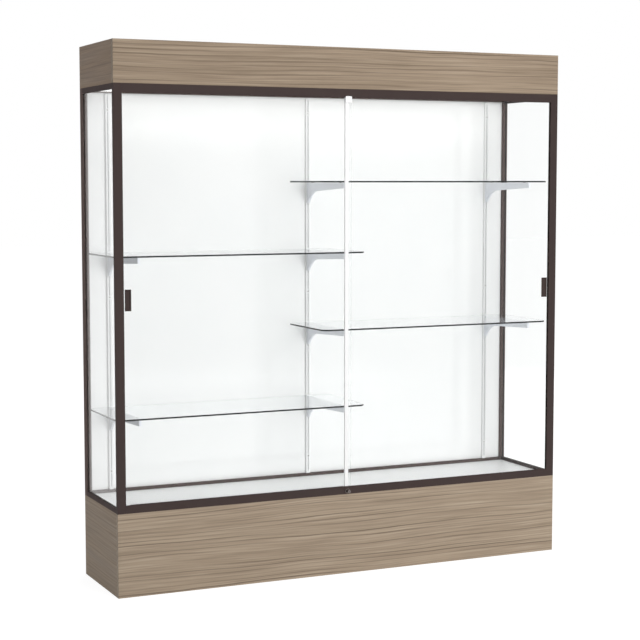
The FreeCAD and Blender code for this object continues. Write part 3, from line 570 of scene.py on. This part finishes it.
def start_rod(name, middle, radius, length, sides):
    """A rod along Y, left open in edit mode."""
    bpy.ops.object.select_all(action="DESELECT")
    bpy.ops.mesh.primitive_cylinder_add(vertices=sides, radius=radius, depth=length, location=middle,
                                        rotation=(math.pi / 2, 0.0, 0.0))
    return open_primitive(name)


# %% [markdown]
# A turned piece, like one from a lathe, starts as a ring of points. The points are laid out as the outline of
# one half of the piece, and Spin takes that outline once round the axis. A length of moulding or extrusion
# starts the same way: the ring is laid out as the shape of its end, filled with a face, and extruded.

# %% Start from an outline
merge_distance = 2e-6
ring_radius = 0.01


def start_ring(name, points):
    """A closed ring of points, all selected in edit mode."""
    bpy.ops.object.select_all(action="DESELECT")
    bpy.ops.mesh.primitive_circle_add(vertices=len(points), radius=ring_radius, fill_type="NOTHING")
    piece = bpy.context.object
    piece.name = name
    for vertex, point in zip(piece.data.vertices, points):
        vertex.co = point
    bpy.ops.object.mode_set(mode="EDIT")
    bpy.ops.mesh.select_all(action="SELECT")
    return piece


def start_turned(name, outline, foot, axis, steps):
    """A turned piece in edit mode. The outline is (radius, distance along the axis) in millimetres."""
    points = [foot + Vector((radius, 0.0, 0.0)) / 1000 + Vector(axis) * distance / 1000
              for radius, distance in outline]
    piece = start_ring(name, points)
    bpy.ops.mesh.spin(steps=steps, angle=2 * math.pi, center=foot, axis=axis)
    bpy.ops.mesh.select_all(action="SELECT")
    bpy.ops.mesh.remove_doubles(threshold=merge_distance)
    bpy.ops.mesh.delete_loose(use_verts=True, use_edges=True, use_faces=False)
    return piece


def start_moulding(name, outline, reach):
    """A moulding in edit mode, from the points of one end and the reach to the other, in millimetres."""
    piece = start_ring(name, [Vector(point) / 1000 for point in outline])
    bpy.ops.mesh.edge_face_add()
    bpy.ops.mesh.extrude_region_move(TRANSFORM_OT_translate={"value": Vector(reach) / 1000})
    bpy.ops.mesh.select_all(action="SELECT")
    bpy.ops.mesh.normals_make_consistent(inside=False)
    return piece


# %% [markdown]
# In edit mode an operator works on what is selected. By hand one would click on a face. In code, a short test
# on a face's middle and direction, or on the two ends of an edge, says which ones are meant. Then they are
# bevelled, cut or pushed.

# %% Pick faces and edges, and work on them
near = 1e-5


def is_near(first, second):
    """Whether two measures along an axis, in metres, are the same but for rounding."""
    return abs(first - second) < near


def pick_faces(piece, wanted):
    """Select the faces whose middle and direction pass a test, and nothing else."""
    bpy.ops.mesh.select_mode(type="FACE")
    bpy.ops.mesh.select_all(action="DESELECT")
    shape = bmesh.from_edit_mesh(piece.data)
    for face in shape.faces:
        if wanted(face.calc_center_median(), face.normal):
            face.select_set(True)
    bmesh.update_edit_mesh(piece.data)


def bevel_edges(piece, wanted, width, steps):
    """Bevel the edges whose two ends pass a test, in a few steps that make a round."""
    bpy.ops.mesh.select_mode(type="EDGE")
    bpy.ops.mesh.select_all(action="DESELECT")
    shape = bmesh.from_edit_mesh(piece.data)
    for edge in shape.edges:
        if wanted(edge.verts[0].co, edge.verts[1].co):
            edge.select_set(True)
    bmesh.update_edit_mesh(piece.data)
    bpy.ops.mesh.bevel(offset=width, segments=steps, profile=0.5, affect="EDGES")


def cut_faces(piece, wanted, place, direction):
    """Cut the faces that pass a test along a plane."""
    pick_faces(piece, wanted)
    bpy.ops.mesh.bisect(plane_co=place, plane_no=direction)


def push(x, y, z):
    """Extrude what is selected by a distance in metres."""
    bpy.ops.mesh.extrude_region_move(TRANSFORM_OT_translate={"value": (x, y, z)})


# %% [markdown]
# A piece is closed when its points are merged, its faces look outwards, and its rounds shade smoothly while
# its big faces stay flat. A copy has a mesh of its own, so that each piece can move with its own body. The
# last step hands the piece over: it gets its finish, the body that it rides on and the node it stands for.

# %% Close, copy and hand over a piece
def close_piece(piece, smooth_angle=0.6):
    """Leave edit mode with merged points, outward faces, smooth rounds and flat big faces."""
    bpy.ops.mesh.select_all(action="SELECT")
    bpy.ops.mesh.remove_doubles(threshold=merge_distance)
    bpy.ops.mesh.normals_make_consistent(inside=False)
    bpy.ops.object.mode_set(mode="OBJECT")
    bpy.ops.object.shade_smooth_by_angle(angle=smooth_angle)
    flat_faces = piece.modifiers.new("flat_faces", "WEIGHTED_NORMAL")
    flat_faces.keep_sharp = True
    flat_faces.weight = 100
    bpy.ops.object.modifier_apply(modifier="flat_faces")
    print(piece.name, "has", len(piece.data.polygons), "faces")


def copy_piece(piece, name, shift):
    """A copy with a mesh of its own, moved inside that mesh."""
    twin = piece.copy()
    twin.name = name
    twin.data = piece.data.copy()
    twin.data.transform(Matrix.Translation(shift))
    bpy.context.scene.collection.objects.link(twin)
    return twin


def hand_over(piece, finish, slot, body, *nodes):
    """Give a piece its finish and its body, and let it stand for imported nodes."""
    piece.data.materials.clear()
    piece.data.materials.append(finish)
    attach(piece, body)
    if nodes:
        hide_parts(*nodes)


# %% [markdown]
# ## Glass shelves
#
# A shelf of 6 mm float glass is cut, its corners are rounded so that nobody catches a hand on them, and then
# its sharp edges are ground to a narrow flat, the arris, and polished. The arris is what catches the light
# along a shelf. So a block gets its four corners bevelled in many steps, and then both rims in two. The four
# panes are all one size: one is modelled and copied three times.

# %% Shelf panes
shelf_names = ("left_lower", "left_upper", "right_lower", "right_upper")
corner_round = 0.032
arris = 0.0008
shelf_low, shelf_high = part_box("left_lower_shelf")
shelf = start_block("left_lower_shelf_pane", shelf_low, shelf_high)
bevel_edges(shelf, lambda a, b: not is_near(a.z, b.z), corner_round, steps=16)
bevel_edges(shelf, lambda a, b: is_near(a.z, b.z), arris, steps=2)
close_piece(shelf)
shelves = {"left_lower_shelf": shelf}
for shelf_name in shelf_names[1:]:
    node = shelf_name + "_shelf"
    shelves[node] = copy_piece(shelf, node + "_pane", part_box(node)[0] - shelf_low)
for node, pane in shelves.items():
    hand_over(pane, shelf_glass, "clear_glass", "case", node)

# %% [markdown]
# ## Finger pulls
#
# Each door is slid by a flat pull near its outer edge: a dark plate with a shallow cup for the finger tips.
# The cup is an inset of the front face, pushed in and made a little smaller at its floor. Then the rims are
# bevelled: the outer one more, because it is what a hand feels, and the rim of the cup's floor less.

# %% Plate and cup of the right-hand pull
pull_low, pull_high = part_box("right_door_pull")
pull_middle = (pull_low + pull_high) / 2
pull_half = (pull_high - pull_low) / 2
cup_margin = 0.005
cup_depth = 0.0016
cup_floor_share = (0.84, 1.0, 0.965)
right_pull = start_block("right_pull", pull_low, pull_high)
pick_faces(right_pull, lambda middle, out: out.y < -0.9)
bpy.ops.mesh.inset(thickness=cup_margin)
push(0.0, cup_depth, 0.0)
cup_floor = (pull_middle.x, pull_low.y + cup_depth, pull_middle.z)
bpy.ops.transform.resize(value=cup_floor_share, center_override=cup_floor)
print("the cup is", cup_depth * 1000, "mm deep")

# %% Rims of the pull, and the pull of the left-hand door
pull_rim_round = 0.0011
cup_floor_round = 0.0008


def on_outer_rim(a, b):
    """The front rim of the plate and its four corners."""
    at_sides = all(is_near(abs(point.x - pull_middle.x), pull_half.x) for point in (a, b))
    at_ends = all(is_near(abs(point.z - pull_middle.z), pull_half.z) for point in (a, b))
    corner = at_sides and at_ends and not is_near(a.y, b.y)
    rim = is_near(max(a.y, b.y), pull_low.y) and (at_sides or at_ends)
    return corner or rim


def on_cup_floor(a, b):
    """The rim of the cup's floor."""
    return all(is_near(point.y, pull_low.y + cup_depth) for point in (a, b))


bevel_edges(right_pull, on_outer_rim, pull_rim_round, steps=4)
bevel_edges(right_pull, on_cup_floor, cup_floor_round, steps=3)
close_piece(right_pull)
left_pull = copy_piece(right_pull, "left_pull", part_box("left_door_pull")[0] - pull_low)
hand_over(right_pull, bronze, "bronze_frame", "right_door", "right_door_pull")
hand_over(left_pull, bronze, "bronze_frame", "left_door", "left_door_pull")

# %% [markdown]
# ## White edge strip
#
# The meeting edge of the right-hand door wears a white plastic channel with rounded corners, pressed over the
# glass. Its end is drawn as a channel one millimetre thick, and extruded to the height of the door.

# %% Edge strip
strip_low, strip_high = (corner * 1000 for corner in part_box("right_door_edge_strip"))
strip_wall = 1.0
lip_ease = 0.3
round_steps = ((0.80, 0.00), (0.40, 0.10), (0.10, 0.40), (0.00, 0.80))
glass_edge = strip_low.x + strip_wall
glass_front, glass_rear = strip_low.y + strip_wall, strip_high.y - strip_wall
rear_corner = [(strip_low.x + along, strip_high.y - inward) for along, inward in round_steps]
front_corner = [(strip_low.x + along, strip_low.y + inward) for along, inward in reversed(round_steps)]
strip_outline = [(strip_high.x, glass_front), (glass_edge, glass_front),
                 (glass_edge, glass_rear), (strip_high.x, glass_rear),
                 (strip_high.x, strip_high.y - lip_ease), (strip_high.x - lip_ease, strip_high.y),
                 *rear_corner, *front_corner,
                 (strip_high.x - lip_ease, strip_low.y), (strip_high.x, strip_low.y + lip_ease)]
strip_end = [(x, y, strip_low.z) for x, y in strip_outline]
edge_strip = start_moulding("door_edge_strip", strip_end, (0.0, 0.0, strip_high.z - strip_low.z))
close_piece(edge_strip, smooth_angle=0.7)
hand_over(edge_strip, white_plastic, "white_plastic", "right_door", "right_door_edge_strip")

# %% [markdown]
# The strip ends in a small guide at the top: a block that grips the glass, with a thin tongue that runs in
# front of the top rail. The block is the same channel, thicker at the front. A straight cut across its top
# parts off the tongue, which is then pulled up and rounded.

# %% Block and tongue of the top guide
guide_low, guide_high = (corner * 1000 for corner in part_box("right_door_top_guide"))
guide_height = 18.0
tongue_thickness = 1.4
block_top = (guide_low.z + guide_height) / 1000
tongue_back = (guide_low.y + tongue_thickness) / 1000
guide_plan = [(guide_high.x, glass_front), (glass_edge, glass_front),
              (glass_edge, glass_rear), (guide_high.x, glass_rear),
              (guide_high.x, guide_high.y), (guide_low.x, guide_high.y),
              (guide_low.x, guide_low.y), (guide_high.x, guide_low.y)]
guide_end = [(x, y, guide_low.z) for x, y in guide_plan]
top_guide = start_moulding("door_top_guide", guide_end, (0.0, 0.0, guide_height))
cut_faces(top_guide, lambda middle, out: out.z > 0.9, (0.0, tongue_back, 0.0), (0, 1, 0))
pick_faces(top_guide, lambda middle, out: out.z > 0.9 and middle.y < tongue_back)
push(0.0, 0.0, guide_high.z / 1000 - block_top)
print("the tongue rises", round(guide_high.z - guide_low.z - guide_height, 1), "mm above the block")

# %% Rounds of the top guide
tongue_round = 0.004
guide_rim_round = 0.0005


def tongue_corner(a, b):
    """The two upper corners of the tongue."""
    return min(a.z, b.z) > block_top + near and is_near(a.x, b.x)


def guide_front_rim(a, b):
    """The rim of the guide's front face."""
    return max(a.y, b.y) < guide_low.y / 1000 + near


bevel_edges(top_guide, tongue_corner, tongue_round, steps=6)
bevel_edges(top_guide, guide_front_rim, guide_rim_round, steps=2)
close_piece(top_guide)
hand_over(top_guide, white_plastic, "white_plastic", "right_door", "right_door_top_guide")

# %% [markdown]
# ## Shelf brackets
#
# A bracket is a flat arm that tapers to the front and sweeps down at the back to a deep heel, with two hooks
# that drop behind the slots of a standard. The arm is drawn from the side, filled, and extruded to its
# thickness, and the rims of both cheeks are eased. The sweep is an arc over the chord from the knee, where
# the taper ends, to the toe at the foot of the heel.

# %% Outline of the arm
arms_low, arms_high = (corner * 1000 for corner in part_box("left_lower_brackets"))
nose_height = 20.0
knee_reach = 84.0
knee_drop = 32.0
toe_reach = 9.0
sweep_depth = 10.0
sweep_steps = 12
hook_reach = 5.0
heel = arms_high.y - hook_reach
knee = Vector((heel - knee_reach, arms_high.z - knee_drop))
toe = Vector((heel - toe_reach, arms_low.z))
chord = toe - knee
bow = Vector((-chord.y, chord.x)).normalized()
sweep_radius = (chord.length ** 2 / 4 + sweep_depth ** 2) / (2 * sweep_depth)
sweep_centre = (knee + toe) / 2 + bow * (sweep_depth - sweep_radius)
half_turn = math.asin(chord.length / 2 / sweep_radius)
sweep = []
for step in range(sweep_steps + 1):
    turn = half_turn * (2 * step / sweep_steps - 1)
    sweep.append(sweep_centre + sweep_radius * (bow * math.cos(turn) + chord.normalized() * math.sin(turn)))
arm_side = [(heel, arms_high.z), (arms_low.y, arms_high.z), (arms_low.y, arms_high.z - nose_height),
            *sweep, (heel, arms_low.z)]
print("sweep radius", round(sweep_radius, 1), "mm")

# %% One bracket arm
arm_thickness = 9.0
cheek_rim_round = 0.0008
heel_face = heel / 1000
arm_end = [(arms_low.x, y, z) for y, z in arm_side]
bracket = start_moulding("left_lower_bracket_1", arm_end, (arm_thickness, 0.0, 0.0))
bevel_edges(bracket, lambda a, b: is_near(a.x, b.x) and min(a.y, b.y) < heel_face - near,
            cheek_rim_round, steps=2)
print("the arm is", round(heel - arms_low.y), "mm long")

# %% [markdown]
# The hooks grow out of the heel. Straight cuts across the heel mark where they stand, the two small faces are
# pulled out through the wall of the standard, and the rear part of each is pulled down into a lip.

# %% Places of the hooks
arm_middle = (arms_low.x + arm_thickness / 2) / 1000
slot_pitch = 12.7
slots_between_hooks = 4
upper_hook_drop = 14.0
hook_half = 0.0015
hook_height = 0.0075
hook_drops = (upper_hook_drop, upper_hook_drop + slots_between_hooks * slot_pitch)
hook_bottoms = [(arms_high.z - drop) / 1000 for drop in hook_drops]
hook_cuts = [((arm_middle - hook_half, 0, 0), (1, 0, 0)), ((arm_middle + hook_half, 0, 0), (1, 0, 0))]
for bottom in hook_bottoms:
    hook_cuts += [((0, 0, bottom), (0, 0, 1)), ((0, 0, bottom + hook_height), (0, 0, 1))]
for place, direction in hook_cuts:
    cut_faces(bracket, lambda middle, out: out.y > 0.9 and middle.y > heel_face - near, place, direction)
print("the hooks start at", [round(bottom, 4) for bottom in hook_bottoms], "m")

# %% Hooks
hook_lip = 0.003
hook_neck = 0.0018
lip_face = heel_face + hook_neck


def at_hook(middle):
    """Whether the middle of a face lies where a hook stands."""
    at_height = any(low < middle.z < low + hook_height for low in hook_bottoms)
    return at_height and abs(middle.x - arm_middle) < hook_half


pick_faces(bracket, lambda middle, out: out.y > 0.9 and at_hook(middle))
push(0.0, hook_reach / 1000, 0.0)
cut_faces(bracket, lambda middle, out: out.z < -0.9 and middle.y > heel_face + near,
          (0, lip_face, 0), (0, 1, 0))
pick_faces(bracket, lambda middle, out: out.z < -0.9 and middle.y > lip_face)
push(0.0, 0.0, -hook_lip)
close_piece(bracket)

# %% Eight brackets
brackets = 0
for shelf_name in shelf_names:
    node = shelf_name + "_brackets"
    pair_low, pair_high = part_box(node)
    for number, x in enumerate((pair_low.x, pair_high.x - arm_thickness / 1000), start=1):
        name = f"{shelf_name}_bracket_{number}"
        shift = Vector((x, pair_low.y, pair_low.z)) - arms_low / 1000
        piece = bracket if name == bracket.name else copy_piece(bracket, name, shift)
        hand_over(piece, bracket_paint, "grey_metal", "case", node)
        brackets += 1
print(brackets, "brackets")

# %% [markdown]
# ## Plunger lock
#
# The lock sits in the bottom rail between the doors: a turned collar, a plunger that is pushed in between
# the two door shoes, and a key plug in the plunger's face. The collar and the plunger are lathe work, so each
# is an outline that is spun round the lock's axis.

# %% Collar and plunger
along_lock = (0, 1, 0)
lock_steps = 72
collar_low, collar_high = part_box("lock_housing")
lock_middle = (collar_low + collar_high) / 2
collar_front = Vector((lock_middle.x, collar_low.y, lock_middle.z))
collar_outline = [(6.05, 6.5), (7.5, 6.5), (7.5, 3.5), (9.5, 3.5), (9.5, 1.6), (9.25, 0.8), (8.7, 0.25),
                  (8.0, 0.0), (7.3, 0.1), (6.6, 0.5), (6.05, 1.1)]
collar = start_turned("lock_collar", collar_outline, collar_front, along_lock, lock_steps)
close_piece(collar, smooth_angle=0.5)
plunger_low, plunger_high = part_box("lock_plunger")
plunger_front = Vector((lock_middle.x, plunger_low.y, lock_middle.z))
plunger_length = (plunger_high.y - plunger_low.y) * 1000
plunger_outline = [(0.0, 10.3), (4.0, 10.3), (4.0, 0.3), (4.2, 0.0), (5.1, 0.0), (5.6, 0.15), (5.9, 0.5),
                   (6.0, 1.1), (6.0, 3.0), (5.75, 3.2), (5.75, 3.7), (6.0, 3.9),
                   (6.0, plunger_length - 0.6), (5.4, plunger_length), (0.0, plunger_length)]
plunger = start_turned("lock_push_button", plunger_outline, plunger_front, along_lock, lock_steps)
close_piece(plunger, smooth_angle=0.5)

# %% [markdown]
# The key plug is a short rod with a bevelled rim. Its keyway is cut the way one would scribe and mill it:
# four straight cuts across the front face, and the small face between them is pushed in.

# %% Key plug
plug_low, plug_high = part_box("lock_key_plug")
plug_middle = (plug_low + plug_high) / 2
plug_radius = (plug_high.x - plug_low.x) / 2
plug_rim_round = 0.0003
keyway_half_width = 0.0006
keyway_half_height = 0.0025
keyway_depth = 0.006
key_plug = start_rod("lock_plug", plug_middle, plug_radius, plug_high.y - plug_low.y, sides=48)
bevel_edges(key_plug, lambda a, b: max(a.y, b.y) < plug_low.y + near, plug_rim_round, steps=2)
for step, direction in (((keyway_half_width, 0, 0), (1, 0, 0)), ((0, 0, keyway_half_height), (0, 0, 1))):
    for side in (1, -1):
        cut_faces(key_plug, lambda middle, out: middle.y < plug_low.y + near,
                  plug_middle + side * Vector(step), direction)
pick_faces(key_plug, lambda middle, out: middle.y < plug_low.y + near
           and abs(middle.x - plug_middle.x) < keyway_half_width
           and abs(middle.z - plug_middle.z) < keyway_half_height)
push(0.0, keyway_depth, 0.0)
close_piece(key_plug, smooth_angle=0.5)
hand_over(collar, lock_metal, "plated_steel", "case", "lock_housing")
hand_over(plunger, lock_metal, "plated_steel", "lock_plunger", "lock_plunger")
hand_over(key_plug, lock_metal, "plated_steel", "lock_key_plug", "lock_key_plug")

# %% [markdown]
# ## Flush screws of the standards
#
# Nine countersunk screws hold the slotted standards to the back panel. One is made from a rod: the rear face
# is drawn in to a cone and pushed out into the shank, and the front face gets a cross recess. The recess is
# an inset ring whose points are moved in and out to the shape of a cross before it is pushed in.

# %% Head and shank of a flush screw
screws_low, screws_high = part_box("standard_screws")
head_radius = 0.003
head_depth = 0.0012
shank_radius = 0.0016
screw_foot = Vector((screws_low.x + head_radius, screws_low.y, screws_low.z + head_radius))
head_middle = screw_foot + Vector((0, head_depth / 2, 0))
head_back = screw_foot + Vector((0, head_depth, 0))
shank_share = shank_radius / head_radius
screw = start_rod("standard_screw_1", head_middle, head_radius, head_depth, sides=24)
pick_faces(screw, lambda middle, out: out.y > 0.9)
bpy.ops.transform.resize(value=(shank_share, 1.0, shank_share), center_override=head_back)
push(0.0, screws_high.y - screws_low.y - head_depth, 0.0)
print("the screw is", round((screws_high.y - screws_low.y) * 1000, 1), "mm long")

# %% Cross recess
recess_margin = 0.0014
cross_reach = 0.0016
cross_waist = 0.0006
recess_depth = 0.0009
pick_faces(screw, lambda middle, out: out.y < -0.9)
bpy.ops.mesh.inset(thickness=recess_margin)
screw_shape = bmesh.from_edit_mesh(screw.data)
recess = next(face for face in screw_shape.faces if face.select)
for point in recess.verts:
    arm = point.co - screw_foot
    step_in_quarter = round(math.degrees(math.atan2(arm.z, arm.x)) / 15) % 6
    reach = cross_reach if step_in_quarter in (0, 1, 5) else cross_waist
    point.co = screw_foot + arm.normalized() * reach
bmesh.update_edit_mesh(screw.data)
push(0.0, recess_depth, 0.0)
close_piece(screw, smooth_angle=0.5)

# %% [markdown]
# Each of the three standards has a screw near its foot, one near its top and one between them, a whole number
# of slots above the lowest.

# %% Nine flush screws
slots_to_middle_screw = 52
middle_height = screw_foot.z + slots_to_middle_screw * slot_pitch / 1000
screw_columns = (screw_foot.x, 0.0, screws_high.x - head_radius)
screw_heights = (screw_foot.z, middle_height, screws_high.z - head_radius)
screw_places = [Vector((x, screw_foot.y, z)) for x in screw_columns for z in screw_heights]
screws = [screw]
for place in screw_places[1:]:
    screws.append(copy_piece(screw, f"standard_screw_{len(screws) + 1}", place - screw_foot))
for piece in screws:
    hand_over(piece, plated_steel, "plated_steel", "case", "standard_screws")
print(len(screws), "screws in the standards")

# %% [markdown]
# ## Levelling feet
#
# Under each corner a foot is screwed into a block: a round pad and a threaded stem. Both are lathe work. The
# thread is drawn as plain rings, which look like a thread and have no seam.

# %% Outline of a foot
foot_low, foot_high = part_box("foot_front_left")
foot_middle = (foot_low + foot_high) / 2
foot_base = Vector((foot_middle.x, foot_middle.y, foot_low.z))
stem_top = (foot_high.z - foot_low.z) * 1000
thread_start = 9.0
thread_pitch = 1.5
thread_radius = 5.0
root_radius = 4.4
thread_profile = ((thread_radius, 0.25), (thread_radius, 0.4), (root_radius, 0.75), (root_radius, 0.9))
foot_outline = [(0.0, 0.0), (16.0, 0.0), (17.6, 0.5), (18.7, 1.6), (19.0, 3.0), (19.0, 5.4), (18.4, 6.6),
                (17.0, 7.2), (8.0, 7.4), (7.2, 8.0), (4.5, 8.0)]
ring = thread_start
while ring + thread_pitch < stem_top - 1.0:
    foot_outline += [(radius, ring + share * thread_pitch) for radius, share in thread_profile]
    ring += thread_pitch
foot_outline += [(root_radius, stem_top - 0.6), (3.8, stem_top), (0.0, stem_top)]
print("a foot is", round(stem_top, 1), "mm tall")

# %% Four feet
foot = start_turned("front_left_foot", foot_outline, foot_base, (0, 0, 1), steps=36)
close_piece(foot, smooth_angle=0.5)
feet = {"front_left": foot}
for corner in ("front_right", "rear_left", "rear_right"):
    feet[corner] = copy_piece(foot, corner + "_foot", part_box("foot_" + corner)[0] - foot_low)
for corner, piece in feet.items():
    hand_over(piece, plated_steel, "plated_steel", "foot_" + corner, "foot_" + corner)

# %% [markdown]
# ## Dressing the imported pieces
#
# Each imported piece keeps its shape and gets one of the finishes. The list goes by finish, so it reads like
# a maker's schedule.

# %% Finish schedule
schedule = {
    base_front_painted_light: ["base_front_panel", "base_rear_panel"],
    base_end_painted_shade: ["base_end_panels"],
    header_front_painted_shade: ["header_front_panel", "header_rear_panel", "header_top_panel"],
    header_end_painted_shade: ["header_end_panels"],
    raw_board: ["base_top_panel", "base_centre_rib", "base_corner_blocks"],
    bronze: ["front_posts", "bottom_front_rail", "top_front_rail", "bottom_end_rails", "top_end_rails",
             "left_door_shoe", "right_door_shoe", "left_door_pull", "right_door_pull"],
    rear_bronze_painted_light: ["rear_posts", "bottom_rear_rail", "top_rear_rail"],
    door_glass: ["left_door_glass", "right_door_glass"],
    end_glass: ["end_glass_panes"],
    shelf_glass: [name + "_shelf" for name in shelf_names],
    white_gloss: ["back_panel"],
    floor_white: ["display_floor"],
    white_paint: ["shelf_standards", "led_housing"],
    bracket_paint: [name + "_brackets" for name in shelf_names],
    white_plastic: ["right_door_edge_strip", "right_door_top_guide"],
    opal: ["ceiling_diffuser"],
    lamp_lens: ["led_lens"],
    nylon: ["left_inner_roller", "left_outer_roller", "right_inner_roller", "right_outer_roller"],
    black_plastic: ["power_inlet", "switch_rocker", "led_driver"],
    rubber: ["end_glass_gaskets", "shelf_pads", "lamp_wiring"],
    plated_steel: ["frame_screws", "standard_screws", "lock_housing", "lock_plunger", "lock_key_plug",
                   *("foot_" + corner for corner in feet)],
}
for finish, node_names in schedule.items():
    for node_name in node_names:
        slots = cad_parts[node_name].data.materials
        slots.clear()
        slots.append(finish)
dressed = {name for names in schedule.values() for name in names}
print("without a finish:", sorted(set(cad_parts) - dressed))
